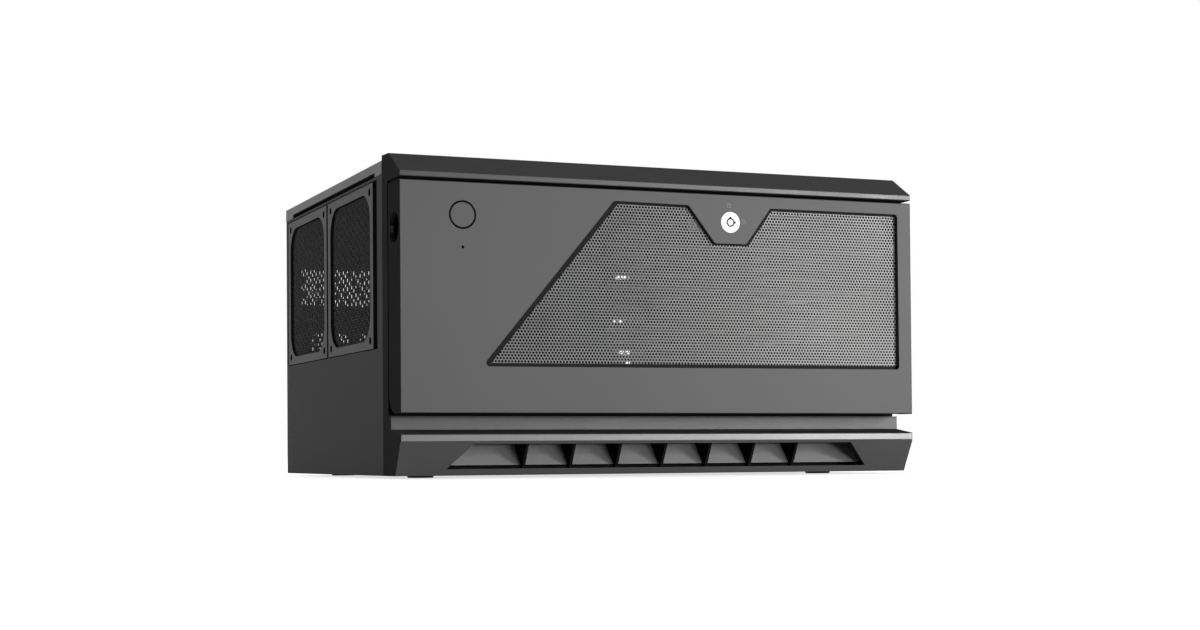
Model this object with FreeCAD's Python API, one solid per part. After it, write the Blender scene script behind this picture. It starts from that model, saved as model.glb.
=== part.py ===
import FreeCAD, Part
import math
import os

V = FreeCAD.Vector
along_x = V(1, 0, 0)
along_y = V(0, 1, 0)
along_z = V(0, 0, 1)

# Overall size in millimetres: x to the right seen from the front, y to the rear, z up from the floor
width = 400.0
depth = 318.0
height = 223.5
foot_height = 2.0

# Sheet steel, moulded walls and clearances
sheet = 1.2
wall = 3.0
run_gap = 0.05          # radial play of a pin in its eye
slide_gap = 0.1         # play of a stem in its guide
swing_gap = 0.8         # room for a part that the opening door passes
side_gap = 0.3          # room beside an ear, a hub or a moving face
seat_gap = 0.02         # radial play of a fixed pin or screw in its hole

# Screws
screw_radius = 1.5
screw_head_across = 5.5
screw_head = 1.6
screw_reach = 6.0

# Feet
foot_radius = 10.0
foot_taper = 1.0
foot_side = 38.0
foot_end = 75.0

# Front bezel, measured back from the front face and up from the floor
bezel_depth = 40.0
chin_set = 12.3
chin_bottom = 25.6
chin_top = 30.4
strip_set = 21.4
strip_bottom = 33.5
strip_top = 43.0
base_set = 27.5
hood_drop = 19.5
hood_lip_drop = 15.5
ridge_set = 23.8
ridge_drop = 0.7
ridge_round = 2.0
lip_round = 0.8
boss_radius = 3.2
boss_side = 6.4
boss_drop = 12.0

# Intake behind the chin
grille_low = 6.5
grille_high = 23.5
grille_half_low = 164.5
grille_half_high = 147.5
rib_count = 7
rib_pitch = 35.3
rib_thick = 2.0
rib_set = 6.0
rib_high = 26.5
ramp_low_set = 19.0
ramp_high_set = 34.0
ramp_low = 9.0
ramp_thick = 2.2
ramp_spread = 5.0

# Door and its hinge
door_gap = 2.0
hinge_set = 11.0
hinge_z = 59.0
hinge_round = 14.6
door_wall = 3.0
pin_radius = 2.5
pin_head_radius = 4.0
pin_head = 1.6
pin_sink = 1.5
ear_thick = 6.0
ear_radius = 6.0
ear_boss = 2.7
finger_radius = 10.5
finger_set = 12.0
finger_drop = 31.5
catch_side = 6.5
catch_drop = 7.0
catch_radius = 3.0
catch_boss = 3.5
catch_gap = 0.5
strike_thick = 1.5
magnet_thick = 3.5

# Perforated panel of the door
mesh_low = 77.5
mesh_top = 10.8
mesh_side = 11.5
mesh_slant_low = 62.0
mesh_slant_high = 162.0
mesh_round = 2.5
notch_deep = 24.7
notch_half_low = 12.0
notch_half_high = 30.5
mesh_thick = 1.0
mesh_lap = 4.0
mesh_pitch = 17.0
mesh_bar = 2.6

# Lock
lock_side = 151.0
lock_drop = 20.0
lock_head_radius = 7.5
lock_head = 1.4
lock_body_radius = 6.0
lock_body = 17.0
lock_nut_radius = 10.5
lock_nut = 3.0
plug_radius = 4.2
key_outer = 3.2
key_inner = 2.2
key_deep = 5.0
key_notch_half = 0.75
cam_set = 19.0
cam_thick = 2.0
cam_reach = 24.0
cam_half = 4.0
cam_post = 2.6
cam_sweep_gap = 1.5

# Power button, switch, light pipe and their board
button_side = 45.0
button_drop = 22.6
button_radius = 9.0
button_cap = 11.2
button_travel = 2.5
stem_radius = 5.0
stem_end = 32.0
collar_radius = 6.2
sleeve_wall = 2.5
board_thick = 1.6
board_half_x = 18.0
board_up = 10.0
board_down = 32.0
board_set = 38.0
switch_half = 3.0
actuator_radius = 1.75
light_drop = 22.1
light_radius = 1.25
light_hole = 1.0
light_flange = 2.6
light_flange_thick = 1.5

# Chassis
cover_drop = 3.0
cover_flange = 9.6
cover_gap = 0.5
cover_round = 1.0
seam = 0.3
joggle_lap = 2.0
tray_flange = 12.0
flange_relief = 3.0
relief_front = 17.5
relief_rear = 22.8
relief_high = 3.0
cover_screw_count = 4
cover_screw_pitch = 110.0

# Left dust filters and their pocket
filter_edge_wide = 8.0      # from the hole pattern to the frame edge
filter_edge_tall = 6.0
filter_thick = 2.8
filter_first = 124.5
filter_between = 4.2
filter_drop = 60.9
filter_gap = 0.8
filter_front_gap = 11.6
filter_open_more = 2.0
filter_round = 20.0
filter_hole = 2.75
pocket_deep = 3.2
net_lap = 3.0
net_thick = 0.8
net_pitch = 13.0
net_bar = 3.0

# Fans
fan_depth = 25.0
fan_pitch = 105.0
fan_edge = 7.5
fan_hole = 2.15
fan_round = 6.0
fan_rim = 2.5
fan_side = 4.0
fan_between = 2.0
fan_drop = 81.3
hub_radius = 20.0
motor_thick = 4.0
strut_half = 2.5
post_radius = 2.0
blade_count = 7
blade_radius = 55.5
blade_chord = 24.0
blade_thick = 2.0
blade_camber = 2.5
blade_steps = 4
blade_hub_deg = 44.0
blade_tip_deg = 30.0
vent_radius = 55.0
vent_pitch = 18.0
vent_bar = 3.5

# Drive cages, trays and backplanes
bay_count = 4
bay_pitch = 31.0
cage_drop = 20.9
cage_side = 10.0
cage_width = 113.5
cage_depth = 161.8
ledge_wide = 4.0
ledge_up = 1.0
tray_gap = 1.2
tray_set = 29.0
tray_face = 8.0
tray_depth = 160.0
tray_high = 28.0
tray_rail = 2.0
tray_rail_high = 14.0
tray_floor = 1.5
tray_window_x = 30.0
tray_window_y = 45.0
tray_slot_count = 3
tray_slot_high = 4.0
tray_slot_pitch = 8.0
tray_slot_half = 32.0
lever_wide = 20.0
lever_proud = 1.0
lever_margin = 4.0
backplane_thick = 1.6
socket_half = 22.0
socket_high = 6.0
socket_deep = 7.0
air_half_x = 42.0
air_half_z = 6.0
shelf_leg_gap = 20.0

# Main board and rear openings
standoff_high = 6.5
standoff_radius = 3.0
board_right = 60.5
board_rear_gap = 2.0
stud_near = 6.35
stud_middle = 163.83
stud_far = 229.87
stud_rear = 10.16
stud_centre = 165.1
stud_front = 237.49
stud_io_row = 33.02
io_left = -99.0
io_width = 158.75
io_low = 8.7
io_high = 44.45
slot_count = 4
slot_pitch = 20.32
slot_side = 88.0
slot_low = 14.0
slot_high = 106.0
slot_half = 6.5
slot_cover_half = 9.2
slot_cover_thick = 0.9
slot_lap = 6.0
slot_tab = 10.0
slot_air_count = 6
slot_air_half = 2.5
slot_air_high = 8.0
psu_side = 72.0
psu_z = 37.0
psu_hole_x = 113.0
psu_hole_z = 51.5
psu_hole = 1.9
psu_wide_half = 61.0
psu_tall_half = 31.0
psu_web = 7.0
rear_vent_drop = 62.8
rear_vent_half_x = 42.0
rear_vent_half_z = 11.5
rear_vent_pitch = 13.0
rear_vent_bar = 3.0
inlet_count = 6
inlet_pitch = 40.0
inlet_side = 30.0
inlet_half = 15.0
inlet_low = 18.0
inlet_high = 10.0
side_vent_count = 9
side_vent_pitch = 8.0
side_vent_half = 1.75
side_vent_low = 18.0
side_vent_high = 40.0
side_vent_end = 20.0

# Places that follow from the sizes above
half = width / 2
front = -depth / 2
floor = foot_height
chassis_front = front + bezel_depth
rear_face = front + depth - sheet - screw_head
rear_inside = rear_face - sheet
inner_x = half - sheet
tray_top = floor + sheet
cover_top = height - cover_drop
cover_under = cover_top - sheet
flange_bottom = cover_top - cover_flange
skin_top = flange_bottom - seam
hood_bottom = height - hood_drop
hood_lip = height - hood_lip_drop
door_top = hood_bottom - door_gap
base_front = front + base_set
base_back = base_front + wall
hinge_y = front + hinge_set
door_back = hinge_y + hinge_round
door_bottom = hinge_z - hinge_round
ear_out = half - door_wall - ear_boss - side_gap
ear_in = ear_out - ear_thick
finger_z = door_top - finger_drop
mesh_high = door_top - mesh_top
mesh_right = half - mesh_side
notch_z = mesh_high - notch_deep
lock_x = half - lock_side
lock_z = door_top - lock_drop
button_x = -half + button_side
button_z = door_top - button_drop
cage_front = chassis_front + sheet
cage_back = cage_front + cage_depth
cage_inner = cage_width - 2 * sheet
cage_high = cover_under - cage_drop
cage_low = cage_high - 2 * sheet - bay_count * bay_pitch
cage_right = half - cage_side
boss_high = door_top - boss_drop
boss_low = (strip_top + cage_low) / 2
cage_centres = (cage_right - 1.5 * cage_width, cage_right - 0.5 * cage_width)
fan_size = fan_pitch + 2 * fan_edge
fan_bore = fan_size / 2 - fan_rim
fan_back = rear_inside
fan_front = fan_back - fan_depth
fan_z = cover_under - fan_drop
fan_right = inner_x - fan_side - fan_size / 2
fan_centres = (fan_right - fan_size - fan_between, fan_right)
filter_width = fan_pitch + 2 * filter_edge_wide
filter_height = fan_pitch + 2 * filter_edge_tall
filter_open_width = fan_pitch + filter_open_more
filter_open_height = fan_pitch
filter_centres = (front + filter_first, front + filter_first + filter_width + filter_between)
filter_z = skin_top - filter_drop
pocket_floor = -half + pocket_deep
board_rear = rear_inside - board_rear_gap
stud_columns = (stud_near, stud_middle, stud_far)
stud_rows = (stud_rear, stud_centre, stud_front)
psu_x = half - psu_side
rear_vent_x = -half + slot_side - slot_pitch * (slot_count - 1) / 2
rear_vent_z = cover_under - rear_vent_drop


def block(x0, x1, y0, y1, z0, z1):
    return Part.makeBox(x1 - x0, y1 - y0, z1 - z0, V(x0, y0, z0))


def rod(radius, length, x, y, z, axis):
    return Part.makeCylinder(radius, length, V(x, y, z), axis)


def prism_x(points, x0, x1):
    corners = [V(x0, y, z) for y, z in points]
    outline = Part.makePolygon(corners + corners[:1])
    return Part.Face(outline).extrude(V(x1 - x0, 0, 0))


def prism_y(points, y0, y1):
    corners = [V(x, y0, z) for x, z in points]
    outline = Part.makePolygon(corners + corners[:1])
    return Part.Face(outline).extrude(V(0, y1 - y0, 0))


def rounded_face(points, radii):
    count = len(points)
    edges = []
    ends = []
    for k in range(count):
        corner = points[k]
        to_last = (points[k - 1] - corner).normalize()
        to_next = (points[(k + 1) % count] - corner).normalize()
        if radii[k] == 0:
            ends.append((corner, corner))
            continue
        half_angle = to_last.getAngle(to_next) / 2
        back = radii[k] / math.tan(half_angle)
        bisector = (to_last + to_next).normalize()
        middle = corner + bisector * (radii[k] / math.sin(half_angle) - radii[k])
        ends.append((corner + to_last * back, corner + to_next * back))
        edges.append(Part.Arc(ends[k][0], middle, ends[k][1]).toShape())
    for k in range(count):
        start = ends[k - 1][1]
        if start.distanceToPoint(ends[k][0]) > seat_gap:
            edges.append(Part.makeLine(start, ends[k][0]))
    return Part.Face(Part.Wire(Part.__sortEdges__(edges)))


def front_rounding(z0, z1):
    corners = [V(-half, front, z0), V(half, front, z0), V(half, -front, z0), V(-half, -front, z0)]
    return rounded_face(corners, [lip_round, lip_round, 0, 0]).extrude(V(0, 0, z1 - z0))


def fuse(shapes):
    return shapes[0].multiFuse(shapes[1:]).removeSplitter()


def both_sides(shape):
    return [shape, shape.mirror(V(0, 0, 0), along_x)]


def round_along(shape, axis, radius):
    edges = [e for e in shape.Edges if abs(e.tangentAt(e.FirstParameter).dot(axis)) > 0.999]
    return shape.makeFillet(radius, edges)


def hex_points(u, v, across):
    reach = across / math.sqrt(3)
    angles = [math.radians(90 + 60 * k) for k in range(6)]
    return [(u + reach * math.cos(a), v + reach * math.sin(a)) for a in angles]


def lattice(pitch, half_u, half_v):
    step = pitch * math.sqrt(3) / 2
    rows = int(half_v // step)
    columns = int(half_u // pitch) + 1
    spots = []
    for row in range(-rows, rows + 1):
        shift = (row % 2) * pitch / 2
        for column in range(-columns, columns + 1):
            u = column * pitch + shift
            if abs(u) <= half_u:
                spots.append((u, row * step))
    return spots


def disc_lattice(pitch, across, radius):
    reach = radius - across / math.sqrt(3)
    return [(u, v) for u, v in lattice(pitch, radius, radius) if math.hypot(u, v) <= reach]


def screw(x, y, z):
    shank = rod(screw_radius, screw_reach, x, y, z, along_y * -1)
    head = prism_y(hex_points(x, z, screw_head_across), y, y + screw_head)
    return shank.fuse(head).removeSplitter()


def square_spots(u, v, pitch):
    ends = (-pitch / 2, pitch / 2)
    return [(u + a, v + b) for a in ends for b in ends]


# Chassis sheets

def base_tray():
    start = cage_front
    plate = block(-inner_x, inner_x, start, rear_inside, floor, tray_top)
    rise = floor + tray_flange
    side = block(inner_x - sheet, inner_x, start + flange_relief, rear_inside - flange_relief, tray_top, rise)
    lip_half = inner_x - sheet - flange_relief
    lip = block(-lip_half, lip_half, start, start + sheet, tray_top, rise)
    return fuse([plate, lip] + both_sides(side))


def edge_relief():
    y0 = chassis_front + relief_front
    y1 = rear_face - relief_rear
    return block(-half, -inner_x + sheet, y0, y1, flange_bottom, flange_bottom + relief_high)


def side_sheet():
    skin = block(-half, -inner_x, chassis_front, rear_face, floor, skin_top)
    joggle = block(-inner_x, -inner_x + sheet, cage_front, rear_inside, skin_top - joggle_lap, cover_under)
    return skin.fuse(joggle.cut(edge_relief()))


def left_side_panel():
    y0 = filter_centres[0] - filter_width / 2 - filter_front_gap
    y1 = filter_centres[1] + filter_width / 2 + filter_gap
    z0 = filter_z - filter_height / 2 - filter_gap
    z1 = filter_z + filter_height / 2 + filter_gap
    pocket = block(-inner_x, pocket_floor + sheet, y0 - sheet, y1 + sheet, z0 - sheet, z1 + sheet)
    recess = block(-half, pocket_floor, y0, y1, z0, z1)
    panel = fuse([side_sheet(), pocket]).cut(recess)
    across = vent_pitch - vent_bar
    holes = []
    for y in filter_centres:
        for u, v in disc_lattice(vent_pitch, across, vent_radius):
            holes.append(prism_x(hex_points(y + u, filter_z + v, across), pocket_floor, pocket_floor + sheet))
        for u, v in square_spots(y, filter_z, fan_pitch):
            holes.append(rod(fan_hole, sheet, pocket_floor, u, v, along_x))
    return panel.cut(holes).removeSplitter()


def right_side_panel():
    panel = side_sheet().mirror(V(0, 0, 0), along_x)
    slots = []
    for k in range(side_vent_count):
        y = rear_face - side_vent_end - k * side_vent_pitch
        z0 = floor + side_vent_low
        slots.append(block(inner_x, half, y - side_vent_half, y + side_vent_half, z0, z0 + side_vent_high))
    return panel.cut(slots).removeSplitter()


def cover_screw_spots():
    z = (flange_bottom + cover_under) / 2
    first = -cover_screw_pitch * (cover_screw_count - 1) / 2
    return [(first + k * cover_screw_pitch, z) for k in range(cover_screw_count)]


def slot_centres():
    return [-half + slot_side - k * slot_pitch for k in range(slot_count)]


def slot_screw_z():
    return slot_low + slot_high + slot_tab / 2


def psu_opening():
    low_half = psu_hole_z / 2 - psu_web
    wide = block(-psu_wide_half, psu_wide_half, rear_inside, rear_face, -low_half, low_half)
    tall_half = psu_hole_x / 2 - psu_web
    tall = block(-tall_half, tall_half, rear_inside, rear_face, -psu_tall_half, psu_tall_half)
    opening = fuse([wide, tall])
    opening.translate(V(psu_x, 0, psu_z))
    holes = []
    for x in (-psu_hole_x / 2, psu_hole_x / 2):
        for z in (-psu_hole_z / 2, psu_hole_z / 2):
            holes.append(rod(psu_hole, sheet, psu_x + x, rear_inside, psu_z + z, along_y))
    return [opening] + holes


def rear_panel():
    panel = block(-inner_x, inner_x, rear_inside, rear_face, floor, cover_under)
    cuts = psu_opening()
    cuts.append(block(io_left, io_left + io_width, rear_inside, rear_face, io_low, io_low + io_high))
    slot_top = slot_low + slot_high
    for x in slot_centres():
        cuts.append(block(x - slot_half, x + slot_half, rear_inside, rear_face, slot_low, slot_top))
        cuts.append(rod(screw_radius + seat_gap, sheet, x, rear_inside, slot_screw_z(), along_y))
    for x, z in cover_screw_spots():
        cuts.append(rod(screw_radius + seat_gap, sheet, x, rear_inside, z, along_y))
    across = vent_pitch - vent_bar
    spots = []
    for x in fan_centres:
        spots += [(x + u, fan_z + v) for u, v in disc_lattice(vent_pitch, across, vent_radius)]
        for u, v in square_spots(x, fan_z, fan_pitch):
            cuts.append(rod(screw_radius + seat_gap, sheet, u, rear_inside, v, along_y))
    cuts += [prism_y(hex_points(x, z, across), rear_inside, rear_face) for x, z in spots]
    across = rear_vent_pitch - rear_vent_bar
    for u, v in lattice(rear_vent_pitch, rear_vent_half_x, rear_vent_half_z):
        points = hex_points(rear_vent_x + u, rear_vent_z + v, across)
        cuts.append(prism_y(points, rear_inside, rear_face))
    return panel.cut(cuts).removeSplitter()


def top_cover():
    start = chassis_front + cover_gap
    stop = rear_face + sheet
    top = block(-half, half, start, stop, cover_under, cover_top)
    side = block(inner_x, half, start, stop, flange_bottom, cover_under)
    back = block(-half, half, rear_face, stop, flange_bottom, cover_under)
    holes = [rod(screw_radius + seat_gap, sheet, x, rear_face, z, along_y) for x, z in cover_screw_spots()]
    cover = fuse([top, back] + both_sides(side)).cut(holes + both_sides(edge_relief()))
    upper = [e for e in cover.Edges if e.BoundBox.ZMin > cover_top - seat_gap]
    return cover.makeFillet(cover_round, [e for e in upper if e.BoundBox.XLength < seat_gap])


def cover_screws():
    return [screw(x, rear_face + sheet, z) for x, z in cover_screw_spots()]


def bezel_screw_spots():
    right = half - boss_side
    spots = [(x, z) for x in (-right, right) for z in (boss_low, boss_high)]
    return spots + [(cage_centres[0], boss_low)]


def front_plate():
    plate = block(-inner_x, inner_x, chassis_front, cage_front, floor, cover_under)
    cuts = []
    reach = cage_inner / 2
    z0 = cage_low + sheet
    z1 = cage_high - sheet
    for x in cage_centres:
        cuts.append(block(x - reach, x + reach, chassis_front, cage_front, z0, z1))
    for k in range(inlet_count):
        x = -half + inlet_side + k * inlet_pitch
        z0 = floor + inlet_low
        cuts.append(block(x - inlet_half, x + inlet_half, chassis_front, cage_front, z0, z0 + inlet_high))
    for x, z in bezel_screw_spots():
        cuts.append(rod(screw_radius + seat_gap, sheet, x, chassis_front, z, along_y))
    return plate.cut(cuts)


def bezel_screws():
    return [screw(x, cage_front, z) for x, z in bezel_screw_spots()]


def feet():
    x = half - foot_side
    places = {"left": -x, "right": x}
    ends = {"front": front + foot_end, "rear": rear_face - foot_end + bezel_depth}
    pads = {}
    for end, y in ends.items():
        for side, px in places.items():
            pad = Part.makeCone(foot_radius - foot_taper, foot_radius, foot_height, V(px, y, 0), along_z)
            pads["foot_" + end + "_" + side] = pad
    return pads


# Left dust filters

def filter_plate(y, grow, x0, x1):
    wide = filter_open_width / 2 + grow
    tall = filter_open_height / 2 + grow
    plate = block(x0, x1, y - wide, y + wide, filter_z - tall, filter_z + tall)
    return round_along(plate, along_x, filter_round + grow)


def filter_frame(y):
    x0 = pocket_floor - filter_thick
    wide = filter_width / 2
    tall = filter_height / 2
    plate = block(x0, pocket_floor, y - wide, y + wide, filter_z - tall, filter_z + tall)
    cuts = [filter_plate(y, 0, x0, pocket_floor)]
    cuts.append(filter_plate(y, net_lap, pocket_floor - net_thick, pocket_floor))
    for u, v in square_spots(y, filter_z, fan_pitch):
        cuts.append(rod(filter_hole, filter_thick, x0, u, v, along_x))
    return plate.cut(cuts)


def filter_net(y):
    x0 = pocket_floor - net_thick
    net = filter_plate(y, net_lap - seat_gap, x0, pocket_floor)
    reach = (net_pitch - net_bar) / 2
    half_u = filter_open_width / 2 - reach
    half_v = filter_open_height / 2 - reach
    corner = fan_pitch / 2 - filter_round / 2
    gaps = []
    for row in range(-int(half_v // net_pitch), int(half_v // net_pitch) + 1):
        for column in range(-int(half_u // net_pitch), int(half_u // net_pitch) + 1):
            u = column * net_pitch
            v = row * net_pitch
            if abs(u) + abs(v) < 2 * corner:
                z = filter_z + v
                gaps.append(block(x0, pocket_floor, y + u - reach, y + u + reach, z - reach, z + reach))
    return net.cut(gaps)


# Front bezel and intake

def bezel_outline(back):
    points = [(back, floor), (front + chin_set, floor), (front, chin_bottom), (front, chin_top)]
    points += [(front + strip_set, strip_bottom), (front + strip_set, strip_top), (base_front, strip_top)]
    points += [(base_front, hood_bottom), (front, hood_bottom), (front, hood_lip)]
    points += [(front + ridge_set, height - ridge_drop), (back, height)]
    return points


def bezel_hollow():
    corners = [V(-half + wall, y, z) for y, z in bezel_outline(chassis_front + wall)]
    outline = Part.Face(Part.makePolygon(corners + corners[:1]))
    return outline.makeOffset2D(-wall, 2).extrude(V(width - 2 * wall, 0, 0))


def hinge_ear():
    eye = rod(ear_radius, ear_thick, ear_in, hinge_y, hinge_z, along_x)
    arm = block(ear_in, ear_out, hinge_y, base_front, hinge_z - ear_radius, hinge_z + ear_radius)
    return eye.fuse(arm).cut(rod(pin_radius + run_gap, ear_thick, ear_in, hinge_y, hinge_z, along_x))


def cam_slot(y0, y1, z0, z1):
    reach = math.hypot(cam_reach, cam_half) + cam_sweep_gap
    left = math.sqrt(reach ** 2 - (z0 - lock_z) ** 2)
    return block(lock_x - left, lock_x + cam_half + cam_sweep_gap, y0, y1, z0, z1)


def catch_spots():
    x = half - catch_side
    return [(-x, door_top - catch_drop), (x, door_top - catch_drop)]


def bezel_shell(z0, z1):
    corners = [V(-half, y, z) for y, z in bezel_outline(chassis_front)]
    lips = [0, 0, lip_round, lip_round, 0, 0, 0, 0, lip_round, lip_round, ridge_round, 0]
    shell = rounded_face(corners, lips).extrude(V(width, 0, 0))
    shell = shell.common(front_rounding(0, height)).cut(bezel_hollow())
    return shell.common(block(-half, half, front, chassis_front, z0, z1))


def bezel_hood():
    slot_front = front + cam_set - cam_sweep_gap
    slot_back = slot_front + cam_thick + 2 * cam_sweep_gap
    slot = cam_slot(slot_front, slot_back, hood_bottom, hood_bottom + wall)
    return bezel_shell(hood_bottom, height).cut(slot)


def front_bezel():
    shell = bezel_shell(floor, hood_bottom)
    adds = both_sides(hinge_ear())
    sleeve_radius = stem_radius + slide_gap + sleeve_wall
    sleeve_front = front + button_cap + button_travel + side_gap
    adds.append(rod(sleeve_radius, base_back - sleeve_front, button_x, sleeve_front, button_z, along_y))
    for x, z in bezel_screw_spots():
        adds.append(rod(boss_radius, chassis_front - base_back, x, base_back, z, along_y))
    post_length = front + board_set - base_back
    for x, z in board_posts():
        adds.append(rod(boss_radius, post_length, x, base_back, z, along_y))
    shell = fuse([shell] + adds)
    x0 = cage_centres[0] - cage_width / 2
    cuts = [block(x0, cage_right, base_front, base_back, cage_low, cage_high)]
    trapezoid = [(-grille_half_low, grille_low), (grille_half_low, grille_low)]
    trapezoid += [(grille_half_high, grille_high), (-grille_half_high, grille_high)]
    cuts.append(prism_y(trapezoid, front, front + chin_set + wall))
    cuts.append(rod(stem_radius + slide_gap, bezel_depth, button_x, front, button_z, along_y))
    cuts.append(rod(light_radius + seat_gap, wall, button_x, base_front, button_z - light_drop, along_y))
    for x, z in bezel_screw_spots():
        cuts.append(rod(screw_radius + seat_gap, screw_reach, x, chassis_front, z, along_y * -1))
    for x, z in catch_spots():
        cuts.append(rod(catch_radius + seat_gap, wall, x, base_front, z, along_y))
    return shell.cut(cuts).removeSplitter()


def chin_y(z):
    return front + chin_set * (chin_bottom - z) / (chin_bottom - floor)


def intake_grille():
    z0 = floor + wall
    low = front + ramp_low_set
    high = front + ramp_high_set
    ramp = [(low, ramp_low), (high, rib_high), (high + ramp_thick, rib_high), (low + ramp_thick, ramp_low)]
    rib = [(chin_y(z0) + rib_set, z0), (low + ramp_thick, z0), (low + ramp_thick, ramp_low)]
    rib += [(high + ramp_thick, rib_high), (chin_y(rib_high) + rib_set, rib_high)]
    reach = grille_half_low + ramp_spread
    solids = [prism_x(ramp, -reach, reach)]
    first = -rib_pitch * (rib_count - 1) / 2
    centres = [first + k * rib_pitch for k in range(rib_count)] + [-reach, reach]
    solids += [prism_x(rib, x - rib_thick / 2, x + rib_thick / 2) for x in centres]
    return fuse(solids)


# Power button and its board

def board_posts():
    x = board_half_x - boss_radius
    z = button_z - board_down + boss_radius
    return [(button_x - x, z), (button_x + x, z)]


def power_button():
    cap = rod(button_radius, button_cap, button_x, front, button_z, along_y)
    stem = rod(stem_radius, stem_end, button_x, front, button_z, along_y)
    collar_start = base_back + side_gap
    collar = rod(collar_radius, front + stem_end - collar_start, button_x, collar_start, button_z, along_y)
    socket_front = front + stem_end - button_travel - 2 * side_gap
    socket_long = button_travel + 2 * side_gap
    socket = rod(actuator_radius + side_gap, socket_long, button_x, socket_front, button_z, along_y)
    return fuse([cap, stem, collar]).cut(socket)


def power_switch():
    y0 = front + stem_end + button_travel + side_gap
    y1 = front + board_set
    case = block(button_x - switch_half, button_x + switch_half, y0, y1,
                 button_z - switch_half, button_z + switch_half)
    tip = rod(actuator_radius, button_travel, button_x, y0, button_z, along_y * -1)
    return fuse([case, tip])


def front_board():
    y0 = front + board_set
    return block(button_x - board_half_x, button_x + board_half_x, y0, y0 + board_thick,
                 button_z - board_down, button_z + board_up)


def light_pipe():
    z = button_z - light_drop
    tip = front + door_wall + swing_gap
    pipe = rod(light_radius, front + board_set - tip, button_x, tip, z, along_y)
    return fuse([pipe, rod(light_flange, light_flange_thick, button_x, base_back, z, along_y)])


def catch_magnets():
    y0 = door_back + catch_gap
    return [rod(catch_radius, magnet_thick, x, y0, z, along_y) for x, z in catch_spots()]


# Door

def door_body(inset, back, lip):
    x = -half + inset
    turn = hinge_round - inset
    low = door_bottom + inset
    corners = [V(x, front + inset, low), V(x, front + inset, door_top - inset), V(x, back, door_top - inset)]
    corners += [V(x, back, hinge_z), V(x, hinge_y + turn, hinge_z), V(x, hinge_y + turn, low)]
    if back == door_back:
        corners.pop(3)
        corners.pop(3)
    radii = [lip, lip] + [0] * (len(corners) - 3) + [turn]
    return rounded_face(corners, radii).extrude(V(2 * (half - inset), 0, 0))


def mesh_outline():
    points = [(-half + mesh_slant_low, mesh_low), (-half + mesh_slant_high, mesh_high)]
    points += [(lock_x - notch_half_high, mesh_high)]
    points += [(lock_x - notch_half_low, notch_z), (lock_x + notch_half_low, notch_z)]
    points += [(lock_x + notch_half_high, mesh_high), (mesh_right, mesh_high), (mesh_right, mesh_low)]
    return points


def mesh_face():
    corners = [V(x, front + door_wall, z) for x, z in mesh_outline()]
    return rounded_face(corners, [mesh_round] * len(corners))


def door_shell():
    shell = door_body(0, door_back, lip_round).common(front_rounding(0, height))
    shell = shell.cut(door_body(door_wall, door_back + wall, 0))
    boss = rod(ear_radius, ear_boss, ear_out + side_gap, hinge_y, hinge_z, along_x)
    adds = both_sides(boss)
    boss_end = door_back - strike_thick
    for x, z in catch_spots():
        adds.append(rod(catch_boss, boss_end - front - door_wall, x, front + door_wall, z, along_y))
    shell = fuse([shell] + adds)
    notch_in = ear_in - side_gap - pin_head - side_gap
    notch = block(notch_in, ear_out + side_gap, front + door_wall, door_back, door_bottom, hinge_z)
    cuts = both_sides(notch)
    pin_start = ear_out + side_gap
    pin_reach = half - pin_sink - pin_start
    cuts += both_sides(rod(pin_radius + seat_gap, pin_reach, pin_start, hinge_y, hinge_z, along_x))
    cuts += both_sides(rod(finger_radius, door_wall, half - door_wall, front + finger_set, finger_z, along_x))
    cuts.append(mesh_face().extrude(V(0, -door_wall, 0)))
    cuts.append(rod(button_radius + swing_gap, door_wall, button_x, front, button_z, along_y))
    cuts.append(rod(light_hole, door_wall, button_x, front, button_z - light_drop, along_y))
    cuts.append(rod(lock_head_radius + seat_gap, lock_head, lock_x, front, lock_z, along_y))
    cuts.append(rod(lock_body_radius + seat_gap, door_wall, lock_x, front, lock_z, along_y))
    slot_front = front + cam_set - cam_sweep_gap
    slot_back = slot_front + cam_thick + 2 * cam_sweep_gap
    cuts.append(cam_slot(slot_front, slot_back, door_top - door_wall, door_top))
    return shell.cut(cuts).removeSplitter()


def door_mesh():
    y0 = front + door_wall
    sheet_face = mesh_face().makeOffset2D(mesh_lap, 2)
    panel = sheet_face.extrude(V(0, mesh_thick, 0))
    across = mesh_pitch - mesh_bar
    field = mesh_face().makeOffset2D(-across / math.sqrt(3), 2)
    box = field.BoundBox
    centre = box.Center
    holes = []
    for u, v in lattice(mesh_pitch, box.XLength / 2, box.ZLength / 2):
        spot = V(centre.x + u, y0, centre.z + v)
        if field.isInside(spot, side_gap, True):
            holes.append(prism_y(hex_points(spot.x, spot.z, across), y0, y0 + mesh_thick))
    holes += [rod(catch_boss + side_gap, mesh_thick, x, y0, z, along_y) for x, z in catch_spots()]
    return panel.cut(holes)


def hinge_pin():
    head_start = ear_in - side_gap - pin_head
    head = rod(pin_head_radius, pin_head, head_start, hinge_y, hinge_z, along_x)
    shank = rod(pin_radius, half - pin_sink - head_start, head_start, hinge_y, hinge_z, along_x)
    return fuse([head, shank])


def strike_plates():
    return [rod(catch_boss, strike_thick, x, door_back - strike_thick, z, along_y) for x, z in catch_spots()]


# Lock

def lock_barrel():
    head = rod(lock_head_radius, lock_head, lock_x, front, lock_z, along_y)
    body = rod(lock_body_radius, lock_body, lock_x, front, lock_z, along_y)
    return fuse([head, body]).cut(rod(plug_radius + run_gap, lock_body, lock_x, front, lock_z, along_y))


def lock_nut_piece():
    y0 = front + door_wall
    points = hex_points(lock_x, lock_z, lock_nut_radius * math.sqrt(3))
    hole = rod(lock_body_radius + seat_gap, lock_nut, lock_x, y0, lock_z, along_y)
    return prism_y(points, y0, y0 + lock_nut).cut(hole)


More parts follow.
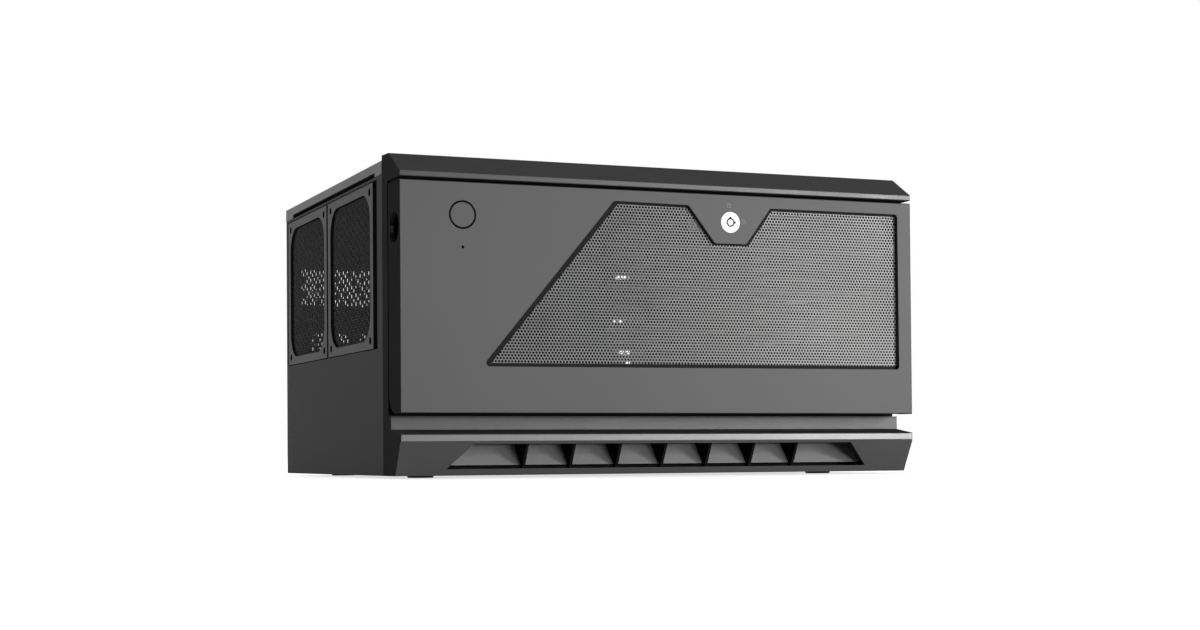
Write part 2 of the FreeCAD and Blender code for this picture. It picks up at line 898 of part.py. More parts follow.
def lock_plug():
    plug = rod(plug_radius, cam_set, lock_x, front, lock_z, along_y)
    post = rod(cam_post, cam_set + cam_thick, lock_x, front, lock_z, along_y)
    groove = rod(key_outer, key_deep, lock_x, front, lock_z, along_y)
    groove = groove.cut(rod(key_inner, key_deep, lock_x, front, lock_z, along_y))
    notch_end = plug_radius - 2 * run_gap
    notch = block(-key_notch_half, key_notch_half, front, front + key_deep, key_inner, notch_end)
    side_notch = notch.copy()
    side_notch.rotate(V(0, 0, 0), along_y, 90)
    for cut in (notch, side_notch):
        cut.translate(V(lock_x, 0, lock_z))
    tip = rod(screw_radius + seat_gap, screw_reach, lock_x, front + cam_set + cam_thick, lock_z, along_y * -1)
    return fuse([plug, post]).cut([groove, notch, side_notch, tip])


def lock_cam():
    y0 = front + cam_set
    bar = block(lock_x - cam_reach, lock_x, y0, y0 + cam_thick, lock_z - cam_half, lock_z + cam_half)
    eye = rod(cam_half + plug_radius / 2, cam_thick, lock_x, y0, lock_z, along_y)
    return fuse([bar, eye]).cut(rod(cam_post + seat_gap, cam_thick, lock_x, y0, lock_z, along_y))


def cam_screw():
    return screw(lock_x, front + cam_set + cam_thick, lock_z)


# Fans

def fan_frame(x):
    r = fan_size / 2
    body = block(x - r, x + r, fan_front, fan_back, fan_z - r, fan_z + r)
    body = round_along(body, along_y, fan_round)
    cuts = [rod(fan_bore, fan_depth, x, fan_front, fan_z, along_y)]
    cuts += [rod(fan_hole, fan_depth, u, fan_front, v, along_y) for u, v in square_spots(x, fan_z, fan_pitch)]
    body = body.cut(cuts)
    motor_front = fan_back - motor_thick
    motor = rod(hub_radius, motor_thick, x, motor_front, fan_z, along_y)
    post_front = fan_front + motor_thick
    post = rod(post_radius, motor_front - post_front, x, post_front, fan_z, along_y)
    upright = block(x - strut_half, x + strut_half, motor_front, fan_back, fan_z - fan_bore, fan_z + fan_bore)
    across = block(x - fan_bore, x + fan_bore, motor_front, fan_back, fan_z - strut_half, fan_z + strut_half)
    struts = fuse([upright, across, motor]).common(rod(fan_bore, fan_depth, x, fan_front, fan_z, along_y))
    return fuse([body, struts, post])


def blade_section(x, y, angle):
    sides = []
    for skin in (-blade_thick / 2, blade_thick / 2):
        shares = [2.0 * k / blade_steps - 1 for k in range(blade_steps + 1)]
        sides.append([V(x, y + skin + blade_camber * (1 - s ** 2), s * blade_chord / 2) for s in shares])
    corners = sides[0] + sides[1][::-1]
    section = Part.makePolygon(corners + corners[:1])
    section.rotate(V(x, y, 0), along_x, angle)
    return section


def fan_rotor(x):
    y0 = fan_front + motor_thick / 2
    y1 = fan_back - motor_thick - side_gap
    hub = rod(hub_radius, y1 - y0, 0, y0, 0, along_y)
    middle = (y0 + y1) / 2
    blades = []
    for k in range(blade_count):
        root = blade_section(hub_radius * math.cos(math.asin(blade_chord / 2 / hub_radius)) - blade_thick,
                             middle, blade_hub_deg)
        tip = blade_section(blade_radius + blade_thick, middle, blade_tip_deg)
        blade = Part.makeLoft([root, tip], True, True)
        blade.rotate(V(0, middle, 0), along_y, 360.0 * k / blade_count)
        blades.append(blade)
    swept = rod(blade_radius, y1 - y0, 0, y0, 0, along_y)
    rotor = fuse([hub] + [blade.common(swept) for blade in blades])
    bore_front = fan_front + motor_thick - side_gap
    rotor = rotor.cut(rod(post_radius + run_gap, y1 - bore_front, 0, bore_front, 0, along_y))
    rotor.translate(V(x, 0, fan_z))
    return rotor


def fan_screws():
    spots = [spot for x in fan_centres for spot in square_spots(x, fan_z, fan_pitch)]
    return [screw(x, rear_face, z) for x, z in spots]


# Drive cages and trays

def ledge_top(bay):
    return cage_low + sheet + bay * bay_pitch + ledge_up + sheet


def drive_cage(x):
    reach = cage_width / 2
    inner = cage_inner / 2
    tube = block(x - reach, x + reach, cage_front, cage_back, cage_low, cage_high)
    tube = tube.cut(block(x - inner, x + inner, cage_front, cage_back, cage_low + sheet, cage_high - sheet))
    ledges = []
    for bay in range(bay_count):
        z1 = ledge_top(bay)
        ledges.append(block(x - inner, x - inner + ledge_wide, cage_front, cage_back, z1 - sheet, z1))
        ledges.append(block(x + inner - ledge_wide, x + inner, cage_front, cage_back, z1 - sheet, z1))
    return fuse([tube] + ledges)


def drive_tray(x, bay):
    reach = cage_inner / 2 - tray_gap
    y0 = front + tray_set
    y1 = y0 + tray_face
    y2 = y0 + tray_depth
    z0 = ledge_top(bay)
    face = block(x - reach, x + reach, y0, y1, z0, z0 + tray_high)
    plate = block(x - reach, x + reach, y1, y2, z0, z0 + tray_floor)
    left = block(x - reach, x - reach + tray_rail, y1, y2, z0, z0 + tray_rail_high)
    right = block(x + reach - tray_rail, x + reach, y1, y2, z0, z0 + tray_rail_high)
    lever_z = z0 + lever_margin
    lever = block(x + reach - lever_margin - lever_wide, x + reach - lever_margin, y0 - lever_proud, y0,
                  lever_z, z0 + tray_high - lever_margin)
    middle = (y1 + y2) / 2
    cuts = [block(x - tray_window_x, x + tray_window_x, middle - tray_window_y, middle + tray_window_y,
                  z0, z0 + tray_floor)]
    slot_x = x - reach + lever_margin + tray_slot_half
    first = z0 + tray_high / 2 - tray_slot_pitch * (tray_slot_count - 1) / 2
    for k in range(tray_slot_count):
        z = first + k * tray_slot_pitch
        cuts.append(block(slot_x - tray_slot_half, slot_x + tray_slot_half, y0, y1,
                          z - tray_slot_high / 2, z + tray_slot_high / 2))
    return fuse([face, plate, left, right, lever]).cut(cuts)


def backplane(x):
    reach = cage_width / 2
    plate = block(x - reach, x + reach, cage_back, cage_back + backplane_thick, cage_low, cage_high)
    sockets = []
    air = []
    for bay in range(bay_count):
        z0 = ledge_top(bay) + tray_floor
        sockets.append(block(x - socket_half, x + socket_half, cage_back - socket_deep, cage_back,
                             z0, z0 + socket_high))
        z = z0 + socket_high + 2 * air_half_z
        air.append(block(x - air_half_x, x + air_half_x, cage_back, cage_back + backplane_thick,
                         z - air_half_z, z + air_half_z))
    return fuse([plate] + sockets).cut(air)


def cage_shelf():
    x0 = cage_centres[0] - cage_width / 2
    top = block(x0, cage_right, cage_front, cage_back, cage_low - sheet, cage_low)
    low = floor + tray_flange + sheet
    lip_x = board_right + wall
    lip = block(lip_x, cage_right, cage_front, cage_front + sheet, low, cage_low)
    leg = block(cage_right - sheet, cage_right, cage_front + shelf_leg_gap, cage_back, tray_top, cage_low)
    return fuse([top, lip, leg])


# Board standoffs and slot covers

def stud_spots():
    spots = []
    for column, inward in enumerate(stud_columns):
        for row, forward in enumerate(stud_rows):
            back_off = stud_io_row if column == 0 and row == 0 else forward
            spots.append((board_right - inward, board_rear - back_off))
    return spots


def board_standoffs():
    studs = []
    for x, y in stud_spots():
        corners = [V(u, v, tray_top) for u, v in hex_points(x, y, standoff_radius * math.sqrt(3))]
        stud = Part.Face(Part.makePolygon(corners + corners[:1])).extrude(V(0, 0, standoff_high))
        studs.append(stud.cut(rod(screw_radius, standoff_high, x, y, tray_top, along_z)))
    return studs


def slot_cover(x):
    y0 = rear_inside - slot_cover_thick
    z0 = slot_low - slot_lap
    z1 = slot_low + slot_high + slot_tab
    plate = block(x - slot_cover_half, x + slot_cover_half, y0, rear_inside, z0, z1)
    step = slot_high / slot_air_count
    cuts = [rod(screw_radius + seat_gap, slot_cover_thick, x, y0, slot_screw_z(), along_y)]
    for k in range(slot_air_count):
        z = slot_low + step * (k + 0.5)
        cuts.append(block(x - slot_air_half, x + slot_air_half, y0, rear_inside,
                          z - slot_air_high / 2, z + slot_air_high / 2))
    return plate.cut(cuts)


def slot_screws():
    return [screw(x, rear_face, slot_screw_z()) for x in slot_centres()]


def all_pieces():
    pieces = {"base_tray": base_tray()}
    pieces["left_side_panel"] = left_side_panel()
    pieces["right_side_panel"] = right_side_panel()
    pieces["rear_panel"] = rear_panel()
    pieces["front_plate"] = front_plate()
    pieces["top_cover"] = top_cover()
    pieces["cover_screws"] = cover_screws()
    pieces["bezel_screws"] = bezel_screws()
    pieces.update(feet())
    for name, y in zip(("front", "rear"), filter_centres):
        pieces["filter_frame_" + name] = filter_frame(y)
        pieces["filter_net_" + name] = filter_net(y)
    pieces["front_bezel"] = front_bezel()
    pieces["bezel_hood"] = bezel_hood()
    pieces["intake_grille"] = intake_grille()
    pieces["power_button"] = power_button()
    pieces["power_switch"] = power_switch()
    pieces["front_board"] = front_board()
    pieces["light_pipe"] = light_pipe()
    pieces["catch_magnets"] = catch_magnets()
    pieces["door_shell"] = door_shell()
    pieces["door_mesh"] = door_mesh()
    pieces["hinge_pin_right"], pieces["hinge_pin_left"] = both_sides(hinge_pin())
    pieces["strike_plates"] = strike_plates()
    pieces["lock_barrel"] = lock_barrel()
    pieces["lock_nut"] = lock_nut_piece()
    pieces["lock_plug"] = lock_plug()
    pieces["lock_cam"] = lock_cam()
    pieces["cam_screw"] = cam_screw()
    for side, fan_x, cage_x in zip(("left", "right"), fan_centres, cage_centres):
        pieces["fan_frame_" + side] = fan_frame(fan_x)
        pieces["fan_rotor_" + side] = fan_rotor(fan_x)
        pieces["drive_cage_" + side] = drive_cage(cage_x)
        pieces["backplane_" + side] = backplane(cage_x)
        for bay in range(bay_count):
            pieces["drive_tray_" + side + "_" + str(bay + 1)] = drive_tray(cage_x, bay)
    pieces["fan_screws"] = fan_screws()
    pieces["cage_shelf"] = cage_shelf()
    pieces["board_standoffs"] = board_standoffs()
    for k, x in enumerate(slot_centres()):
        pieces["slot_cover_" + str(k + 1)] = slot_cover(x)
    pieces["slot_screws"] = slot_screws()
    return pieces


os.makedirs("parts", exist_ok=True)
for name, piece in all_pieces().items():
    shape = Part.makeCompound(piece) if isinstance(piece, list) else piece
    shape.exportStep("parts/" + name + ".step")
    print(name, len(shape.Solids), shape.isValid(), round(shape.Volume))
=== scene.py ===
import bpy
import bmesh
import math
from mathutils import Matrix, Vector
from mathutils.geometry import delaunay_2d_cdt


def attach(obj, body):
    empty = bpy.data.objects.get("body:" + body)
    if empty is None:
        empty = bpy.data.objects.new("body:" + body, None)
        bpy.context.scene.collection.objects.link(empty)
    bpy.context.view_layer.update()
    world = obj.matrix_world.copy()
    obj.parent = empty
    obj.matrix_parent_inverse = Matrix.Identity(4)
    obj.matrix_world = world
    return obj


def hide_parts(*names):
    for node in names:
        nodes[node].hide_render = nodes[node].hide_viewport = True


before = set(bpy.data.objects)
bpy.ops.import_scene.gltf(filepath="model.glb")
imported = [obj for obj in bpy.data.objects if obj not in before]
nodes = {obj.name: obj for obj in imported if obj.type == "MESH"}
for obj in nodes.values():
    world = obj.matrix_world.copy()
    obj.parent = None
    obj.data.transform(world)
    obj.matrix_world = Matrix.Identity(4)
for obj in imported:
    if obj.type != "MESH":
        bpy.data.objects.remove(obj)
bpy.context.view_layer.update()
mm = 0.001  # sizes are in millimetres, apart from the studio's, which are in metres
print("frame loaded:", len(nodes), "nodes")


# where the frame has a node, in millimetres to a thousandth
def nodeBox(node):
    spots = [vertex.co / mm for vertex in nodes[node].data.vertices]
    low = [round(min(spot[axis] for spot in spots), 3) for axis in range(3)]
    high = [round(max(spot[axis] for spot in spots), 3) for axis in range(3)]
    return low, high


def nodeCentre(node):
    return [(a + b) / 2 for a, b in zip(*nodeBox(node))]


# small helpers for node trees
def addNode(tree, kind, **values):
    node = tree.nodes.new(kind)
    for key, value in values.items():
        if key in node.inputs:
            node.inputs[key].default_value = value
        else:
            setattr(node, key, value)
    return node


def spanOf(tree, value, source, target):  # carries one span over to another and stops at its ends
    span = addNode(tree, "ShaderNodeMapRange")
    for side, low, high in (("From", *source), ("To", *target)):
        span.inputs[side + " Min"].default_value = low
        span.inputs[side + " Max"].default_value = high
    tree.links.new(value, span.inputs["Value"])
    return span.outputs["Result"]


def axisValue(tree, coords, axis):
    split = addNode(tree, "ShaderNodeSeparateXYZ")
    tree.links.new(coords, split.inputs["Vector"])
    return split.outputs[axis]


def calc(tree, operation, *values):
    step = addNode(tree, "ShaderNodeMath", operation=operation)
    for slot, value in enumerate(values):
        if isinstance(value, float):
            step.inputs[slot].default_value = value
        else:
            tree.links.new(value, step.inputs[slot])
    return step.outputs["Value"]


def mixTones(tree, share, first, second):
    blend = addNode(tree, "ShaderNodeMix", data_type="RGBA")
    for value, slot in ((share, 0), (first, 6), (second, 7)):  # the node's colour sockets are 6 and 7
        if isinstance(value, tuple):
            blend.inputs[slot].default_value = value + (1,)
        else:
            tree.links.new(value, blend.inputs[slot])
    return blend.outputs[2]


# what a finish has unless its own entry says otherwise, and how its grain is mixed
plainLook = {"metal": 0.0, "gloss": 0.0, "stretch": (1, 1, 1), "cloud": 60, "vary": 0.06, "round": 0,
             "wornHighlit": 0}
grainMix = {"fineDetail": 3.0, "cloudDetail": 2.0, "noiseRough": 0.6, "noiseSpan": (0.2, 0.8),
            "share": (0.0, 0.5), "toneSpan": (0.3, 0.7), "roughSwing": 0.05, "edgeSamples": 4}
# how much paler edges are drawn: partly wear, partly painted highlight
wornHighlitMix = {"turn": (0.75, 0.99), "gain": 2.2, "lift": 0.03}


def grainNoise(tree, coords, size, detail, stretch=(1, 1, 1)):
    place = addNode(tree, "ShaderNodeMapping")
    place.inputs["Scale"].default_value = [share / (size * mm) for share in stretch]
    tree.links.new(coords, place.inputs["Vector"])
    noise = addNode(tree, "ShaderNodeTexNoise", Scale=1.0, Detail=detail, Roughness=grainMix["noiseRough"])
    tree.links.new(place.outputs["Vector"], noise.inputs["Vector"])
    return noise.outputs["Fac"]


def toneRamp(tree, mixed, look):
    ramp = addNode(tree, "ShaderNodeValToRGB")
    for end, side in enumerate((-1, 1)):
        element = ramp.color_ramp.elements[end]
        element.position = grainMix["toneSpan"][end]
        element.color = [c * (1 + side * look["vary"]) for c in look["tone"]] + [1]
    tree.links.new(mixed, ramp.inputs["Fac"])
    return ramp.outputs["Color"]


# painted shade: the top of the strip is darkened where the door's edge shades it
def shadeBand(tree, coords, colour, look):  # dark band under the door's edge
    off = calc(tree, "ABSOLUTE", calc(tree, "SUBTRACT", axisValue(tree, coords, "Z"), look["shade"] * mm))
    edge = look["shadeHalf"] * mm
    band = spanOf(tree, off, (edge, edge + look["shadeSoft"] * mm), (1.0, 0.0))
    return mixTones(tree, band, colour, look["shadeTone"])


# painted shade: a dark line round the button, wider than the real gap between button and door
def paintedGapShade(tree, coords, colour, look):  # dark line round the button
    x, _, z = nodeCentre(look["ring"])
    across = calc(tree, "SUBTRACT", axisValue(tree, coords, "X"), x * mm)
    rise = calc(tree, "SUBTRACT", axisValue(tree, coords, "Z"), z * mm)
    squares = calc(tree, "ADD", calc(tree, "POWER", across, 2.0), calc(tree, "POWER", rise, 2.0))
    off = calc(tree, "ABSOLUTE", calc(tree, "SUBTRACT", calc(tree, "SQRT", squares), look["ringRadius"] * mm))
    edge = look["ringHalf"] * mm
    line = spanOf(tree, off, (edge, edge + look["ringSoft"] * mm), (1.0, 0.0))
    return mixTones(tree, line, colour, look["gapShadeTone"])


# painted highlight and wear: edges are drawn paler than the faces
def wornHighlitEdges(tree, normal, colour, look):  # edges a little paler than the faces
    flat = addNode(tree, "ShaderNodeNewGeometry").outputs["Normal"]
    turn = addNode(tree, "ShaderNodeVectorMath", operation="DOT_PRODUCT")
    tree.links.new(flat, turn.inputs[0])
    tree.links.new(normal, turn.inputs[1])
    wornHighlitShare = spanOf(tree, turn.outputs["Value"], wornHighlitMix["turn"], (look["wornHighlit"], 0.0))
    pale = tuple(min(1, c * wornHighlitMix["gain"] + wornHighlitMix["lift"]) for c in look["tone"])
    return mixTones(tree, wornHighlitShare, colour, pale)


def makeFinish(name, entry):
    look = {**plainLook, **entry}
    finish = bpy.data.materials.new(name)
    finish.use_nodes = True
    tree = finish.node_tree
    shader = tree.nodes["Principled BSDF"]
    shader.inputs["Metallic"].default_value = look["metal"]
    shader.inputs["Specular IOR Level"].default_value = look["gloss"]
    coords = addNode(tree, "ShaderNodeTexCoord").outputs["Object"]
    fine = grainNoise(tree, coords, look["grain"], grainMix["fineDetail"], look["stretch"])
    broad = grainNoise(tree, coords, look["cloud"], grainMix["cloudDetail"])
    shares = [spanOf(tree, noise, grainMix["noiseSpan"], grainMix["share"]) for noise in (broad, fine)]
    mixed = calc(tree, "ADD", *shares)
    colour = toneRamp(tree, mixed, look)
    if "shadeTone" in look:
        colour = shadeBand(tree, coords, colour, look)
    if "gapShadeTone" in look:
        colour = paintedGapShade(tree, coords, colour, look)
    bump = addNode(tree, "ShaderNodeBump", Strength=look["bump"], Distance=look["grain"] * mm)
    tree.links.new(fine, bump.inputs["Height"])
    if look["round"]:
        edge = addNode(tree, "ShaderNodeBevel", samples=grainMix["edgeSamples"], Radius=look["round"] * mm)
        tree.links.new(edge.outputs["Normal"], bump.inputs["Normal"])
        if look["wornHighlit"]:
            colour = wornHighlitEdges(tree, edge.outputs["Normal"], colour, look)
    tree.links.new(colour, shader.inputs["Base Color"])
    swing = (look["rough"] - grainMix["roughSwing"], look["rough"] + grainMix["roughSwing"])
    tree.links.new(spanOf(tree, mixed, grainMix["toneSpan"], swing), shader.inputs["Roughness"])
    tree.links.new(bump.outputs["Normal"], shader.inputs["Normal"])
    return finish


def grey(value):
    return (value, value, value)


# one entry for each finish: tone, roughness, gloss, grain size and how much the grain stands up
looks = {
    "panelPaint": {"tone": grey(0.1), "rough": 0.55, "grain": 0.35, "bump": 0.3, "round": 0.5, "vary": 0.03,
                   "wornHighlit": 0.2},
    "pocketShade": {"tone": grey(0.03), "rough": 0.55, "grain": 0.35, "bump": 0.3},
    "coverFlangeLit": {"tone": grey(0.29), "rough": 0.5, "grain": 0.35, "bump": 0.3, "round": 0.5, "vary": 0.03,
                   "wornHighlit": 0.3},
    "cagePaint": {"tone": grey(0.014), "rough": 0.5, "grain": 0.4, "bump": 0.2, "round": 0.3},
    # the bezel is one plastic; the lip, hood lip, strip, chin, hood and side finishes are lit and shaded
    # copies of it, each tone set for how light falls on those faces: painted light and shade
    "bezelLip": {"tone": grey(0.1), "rough": 0.33, "gloss": 1.0, "grain": 0.3, "bump": 0.14, "round": 0.6},
    "hoodLip": {"tone": grey(0.035), "rough": 0.36, "gloss": 0.54, "grain": 0.3, "bump": 0.14, "round": 0.6},
    "bezelStrip": {"tone": grey(0.056), "rough": 0.4, "gloss": 0.6, "grain": 0.7, "bump": 0.35, "round": 0.6,
                   "shadeTone": grey(0.006), "shade": 42.4, "shadeHalf": 0.8, "shadeSoft": 0.2},
    "bezelChin": {"tone": grey(0.07), "rough": 0.4, "gloss": 0.06, "grain": 0.3, "bump": 0.14, "round": 0.6},
    "bezelHood": {"tone": grey(0.055), "rough": 0.45, "grain": 0.3, "bump": 0.14, "round": 0.6},
    "bezelSide": {"tone": grey(0.036), "rough": 0.45, "grain": 0.3, "bump": 0.14, "round": 0.6},
    # painted shade: near black for the bezel's recesses, the sill under the ramps and the intake ribs
    "bezelShade": {"tone": grey(0.01), "rough": 0.5, "grain": 0.4, "bump": 0.2},
    "intakeGrain": {"tone": grey(0.25), "rough": 0.6, "gloss": 0.02, "grain": 0.9, "bump": 0.5},
    "doorSatin": {"tone": grey(0.112), "rough": 0.4, "gloss": 0.08, "grain": 0.12, "bump": 0.05, "cloud": 180,
                  "vary": 0.03, "round": 0.5, "ring": "power_button", "gapShadeTone": grey(0.004),
                  "ringRadius": 9.05, "ringHalf": 0.6, "ringSoft": 0.05},
    # painted shade: a darker copy of the door's finish for every face of door and button that does not face
    # the front
    "doorFlankShade": {"tone": grey(0.03), "rough": 0.45, "grain": 0.25, "bump": 0.1, "round": 0.5},
    "meshSteel": {"tone": grey(0.2), "rough": 0.3, "gloss": 0.5, "grain": 0.3, "bump": 0.1},
    "rimBlack": {"tone": grey(0.008), "rough": 0.6, "gloss": 0.1, "grain": 0.3, "bump": 0.2},
    "lockNickel": {"tone": grey(0.78), "rough": 0.5, "metal": 0.15, "gloss": 0.1, "grain": 0.2, "bump": 0.04,
                   "vary": 0.03, "stretch": (1, 0.1, 1)},
    "lockKeywayShade": {"tone": grey(0.05), "rough": 0.5, "gloss": 0.1, "grain": 0.2, "bump": 0.05},
    "zincPlate": {"tone": (0.4, 0.4, 0.42), "rough": 0.32, "metal": 1.0, "gloss": 0.5, "grain": 0.4,
                  "bump": 0.06, "round": 0.15},
    "standoffBrass": {"tone": (0.72, 0.5, 0.2), "rough": 0.3, "metal": 1.0, "gloss": 0.5, "grain": 0.3,
                      "bump": 0.05, "round": 0.15},
    "filterSatin": {"tone": grey(0.185), "rough": 0.5, "grain": 0.3, "bump": 0.2},
    "filterEdgeShade": {"tone": grey(0.02), "rough": 0.5, "grain": 0.3, "bump": 0.2},
    "netNylon": {"tone": grey(0.21), "rough": 0.5, "grain": 0.2, "bump": 0.1},
    "fanMould": {"tone": grey(0.02), "rough": 0.45, "gloss": 0.1, "grain": 0.3, "bump": 0.1, "round": 0.3},
    "trayMould": {"tone": grey(0.012), "rough": 0.5, "gloss": 0.03, "grain": 0.35, "bump": 0.15,
                  "round": 0.3},
    "boardMask": {"tone": (0.006, 0.025, 0.012), "rough": 0.3, "gloss": 0.4, "grain": 0.8, "bump": 0.1},
    "switchMould": {"tone": grey(0.04), "rough": 0.45, "gloss": 0.3, "grain": 0.2, "bump": 0.1},
    # painted shade: the clear light pipe gets a dark tone, for the shade in its pinhole
    "clearPipeShade": {"tone": (0.05, 0.055, 0.06), "rough": 0.2, "gloss": 0.4, "grain": 0.2, "bump": 0.03},
    "footRubber": {"tone": grey(0.02), "rough": 0.75, "gloss": 0.1, "grain": 0.5, "bump": 0.4},
    "printGrey": {"tone": grey(0.24), "rough": 0.6, "gloss": 0.1, "grain": 0.1, "bump": 0.05},
}
finishes = {name: makeFinish(name, entry) for name, entry in looks.items()}
print("finishes made:", len(finishes))

# nodes that wear one finish all over
worn = {
    "panelPaint": ["base_tray", "right_side_panel"],
    # the cages wear their own near-black paint; on front_plate it is painted shade behind the mesh
    "cagePaint": ["drive_cage_left", "drive_cage_right", "cage_shelf", "front_plate"],
    "lockNickel": ["lock_barrel"],
    "zincPlate": ["bezel_screws", "hinge_pin_left", "hinge_pin_right", "strike_plates", "lock_nut",
                  "lock_cam", "catch_magnets"],
    "standoffBrass": ["board_standoffs"],
    "fanMould": ["fan_frame_left", "fan_frame_right", "fan_rotor_left", "fan_rotor_right"],
    "trayMould": [name for name in nodes if name.startswith("drive_tray_")],
    "boardMask": ["backplane_left", "backplane_right", "front_board"],
    "switchMould": ["power_switch"],
    "clearPipeShade": ["light_pipe"],
    "footRubber": [name for name in nodes if name.startswith("foot_")],
}
for finishName, members in worn.items():
    for member in members:
        nodes[member].data.materials.clear()
        nodes[member].data.materials.append(finishes[finishName])
print("nodes dressed:", sum(len(members) for members in worn.values()))

# nodes that wear several finishes: shares of a face's normal, and the places where the finish changes
facing = {"flat": 0.97, "side": 0.9, "half": 0.5, "chinFront": 0.8, "chinDown": 0.3}
bezelSplit = {"sill": 6.6, "inside": -135.0, "lips": -157.0, "hood": 150.0}
ribGrid = {"pitch": 35.3, "half": 1.3, "reach": 120.0}
outerFace = {"plug": -158.9, "filter": -199.4, "side": -198.9}


def facesFront(n):
    return n.y < -facing["flat"]


def onRib(c):
    off = c.x - ribGrid["pitch"] * round(c.x / ribGrid["pitch"])
    return abs(c.x) < ribGrid["reach"] and abs(off) < ribGrid["half"]


# painted shade: the sill under the ramps and the faces behind the front go near black
def inBezel(n, c):  # the sill under the ramps and what lies behind the front
    return n.z > facing["half"] and c.z < bezelSplit["sill"] or facesFront(n) and c.y > bezelSplit["inside"]


def anyFace(n, c):
    return True


# each rule looks at a face's normal n and its centre c
# the bezel's faces get lit or shaded copies of one plastic by the way they face: painted light and shade
bezelRules = [
    ("bezelShade", inBezel),
    ("hoodLip", lambda n, c: facesFront(n) and c.y < bezelSplit["lips"] and c.z > bezelSplit["hood"]),
    ("bezelLip", lambda n, c: facesFront(n) and c.y < bezelSplit["lips"]),
    ("bezelStrip", lambda n, c: facesFront(n)),
    ("bezelChin", lambda n, c: n.y < -facing["chinFront"] and n.z < -facing["chinDown"]),
    ("bezelHood", lambda n, c: n.z > facing["half"]),
    ("bezelSide", anyFace),
]
# painted shade: the ribs and their side faces go near black, the ramps keep the grille's own tone
intakeRules = [("bezelShade", lambda n, c: abs(n.x) > facing["side"] or onRib(c)), ("intakeGrain", anyFace)]
doorRules = [("doorSatin", lambda n, c: facesFront(n)), ("doorFlankShade", anyFace)]
# painted shade: the plug's keyway and the faces behind its front are dark
plugRules = [("lockNickel", lambda n, c: facesFront(n) and c.y < outerFace["plug"]), ("lockKeywayShade", anyFace)]
# painted shade: every face of the frames except the outer one is a dark copy of their finish
filterRules = [
    ("filterSatin", lambda n, c: n.x < -facing["side"] and c.x < outerFace["filter"]),
    ("filterEdgeShade", anyFace),
]
# painted shade: the pocket behind the nets is darkened
sideRules = [("panelPaint", lambda n, c: c.x < outerFace["side"]), ("pocketShade", anyFace)]
# painted light: the cover's side flanges wear a lighter copy of the panel paint
coverRules = [("coverFlangeLit", lambda n, c: abs(n.x) > facing["half"]), ("panelPaint", anyFace)]
byFace = {
    "top_cover": coverRules, "front_bezel": bezelRules, "bezel_hood": bezelRules,
    "intake_grille": intakeRules, "power_button": doorRules, "lock_plug": plugRules,
    "filter_frame_front": filterRules, "filter_frame_rear": filterRules,
}


def dressFaces(mesh, rules):  # the first rule that a face fits gives its finish
    mesh.materials.clear()
    for finishName, _ in rules:
        mesh.materials.append(finishes[finishName])
    for face in mesh.polygons:
        centre = face.center / mm
        face.material_index = next(k for k, (_, fits) in enumerate(rules) if fits(face.normal, centre))


for member, rules in byFace.items():
    dressFaces(nodes[member].data, rules)
print("nodes dressed by face:", len(byFace))


# building sheets and boxes, and placing pieces
def placePiece(name, mesh, body, stands):
    piece = bpy.data.objects.new(name, mesh)
    bpy.context.scene.collection.objects.link(piece)
    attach(piece, body)
    if stands:
        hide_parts(*stands)
    return piece


def addPiece(name, points, faces, finishName, body, slotName, stands=()):
    mesh = bpy.data.meshes.new(name)
    mesh.from_pydata([(x * mm, y * mm, z * mm) for x, y, z in points], [], faces)
    work = bmesh.new()
    work.from_mesh(mesh)
    bmesh.ops.recalc_face_normals(work, faces=work.faces)
    work.to_mesh(mesh)
    work.free()
    mesh.materials.append(finishes[finishName])
    return placePiece(name, mesh, body, stands)


def joinParts(parts):
    points, faces = [], []
    for partPoints, partFaces in parts:
        shift = len(points)
        points += partPoints
        faces += [tuple(k + shift for k in face) for face in partFaces]
    return points, faces


def boxPart(low, high):
    points = [(x, y, z) for x in (low[0], high[0]) for y in (low[1], high[1]) for z in (low[2], high[2])]
    faces = [(0, 1, 3, 2), (4, 6, 7, 5), (0, 4, 5, 1), (2, 3, 7, 6), (0, 2, 6, 4), (1, 5, 7, 3)]
    return points, faces


def inRing(u, v, ring):
    inside = False
    for k in range(len(ring)):
        (u0, v0), (u1, v1) = ring[k - 1], ring[k]
        if (v0 > v) != (v1 > v) and u < u0 + (v - v0) * (u1 - u0) / (v1 - v0):
            inside = not inside
    return inside


sheetSlack = 1e-5  # points of a sheet that lie nearer than this are one


def punchedSheet(outer, holes, thick, place):  # place turns (u, v, depth) into a point
    flat, owner, edges, rings = [], [], [], []
    for number, ring in enumerate([outer] + holes):
        first = len(flat)
        flat += [Vector(spot) for spot in ring]
        owner += [number] * len(ring)
        rings.append([(first + k, first + (k + 1) % len(ring)) for k in range(len(ring))])
        edges += rings[-1]
    spots, _, cells, sources, _, _ = delaunay_2d_cdt(flat, edges, [], 0, sheetSlack)
    where, kinds = {}, []
    for k, source in enumerate(sources):
        kinds.append(owner[source[0]] if source else -1)
        for one in source:
            where[one] = k
    kept = []
    for cell in cells:
        kind = {kinds[k] for k in cell}
        if len(kind) == 1 and kind != {0}:  # all corners on one hole, so the cell may fill it
            middle = sum((spots[k] for k in cell), Vector((0, 0))) / len(cell)
            if inRing(middle.x, middle.y, holes[kind.pop() - 1]):
                continue
        kept.append(tuple(cell))
    count = len(spots)
    points = [place(spot.x, spot.y, depth) for depth in (0, thick) for spot in spots]
    faces = kept + [tuple(k + count for k in reversed(cell)) for cell in kept]
    for ring in rings:
        faces += [(where[a], where[b], where[b] + count, where[a] + count) for a, b in ring]
    return points, faces


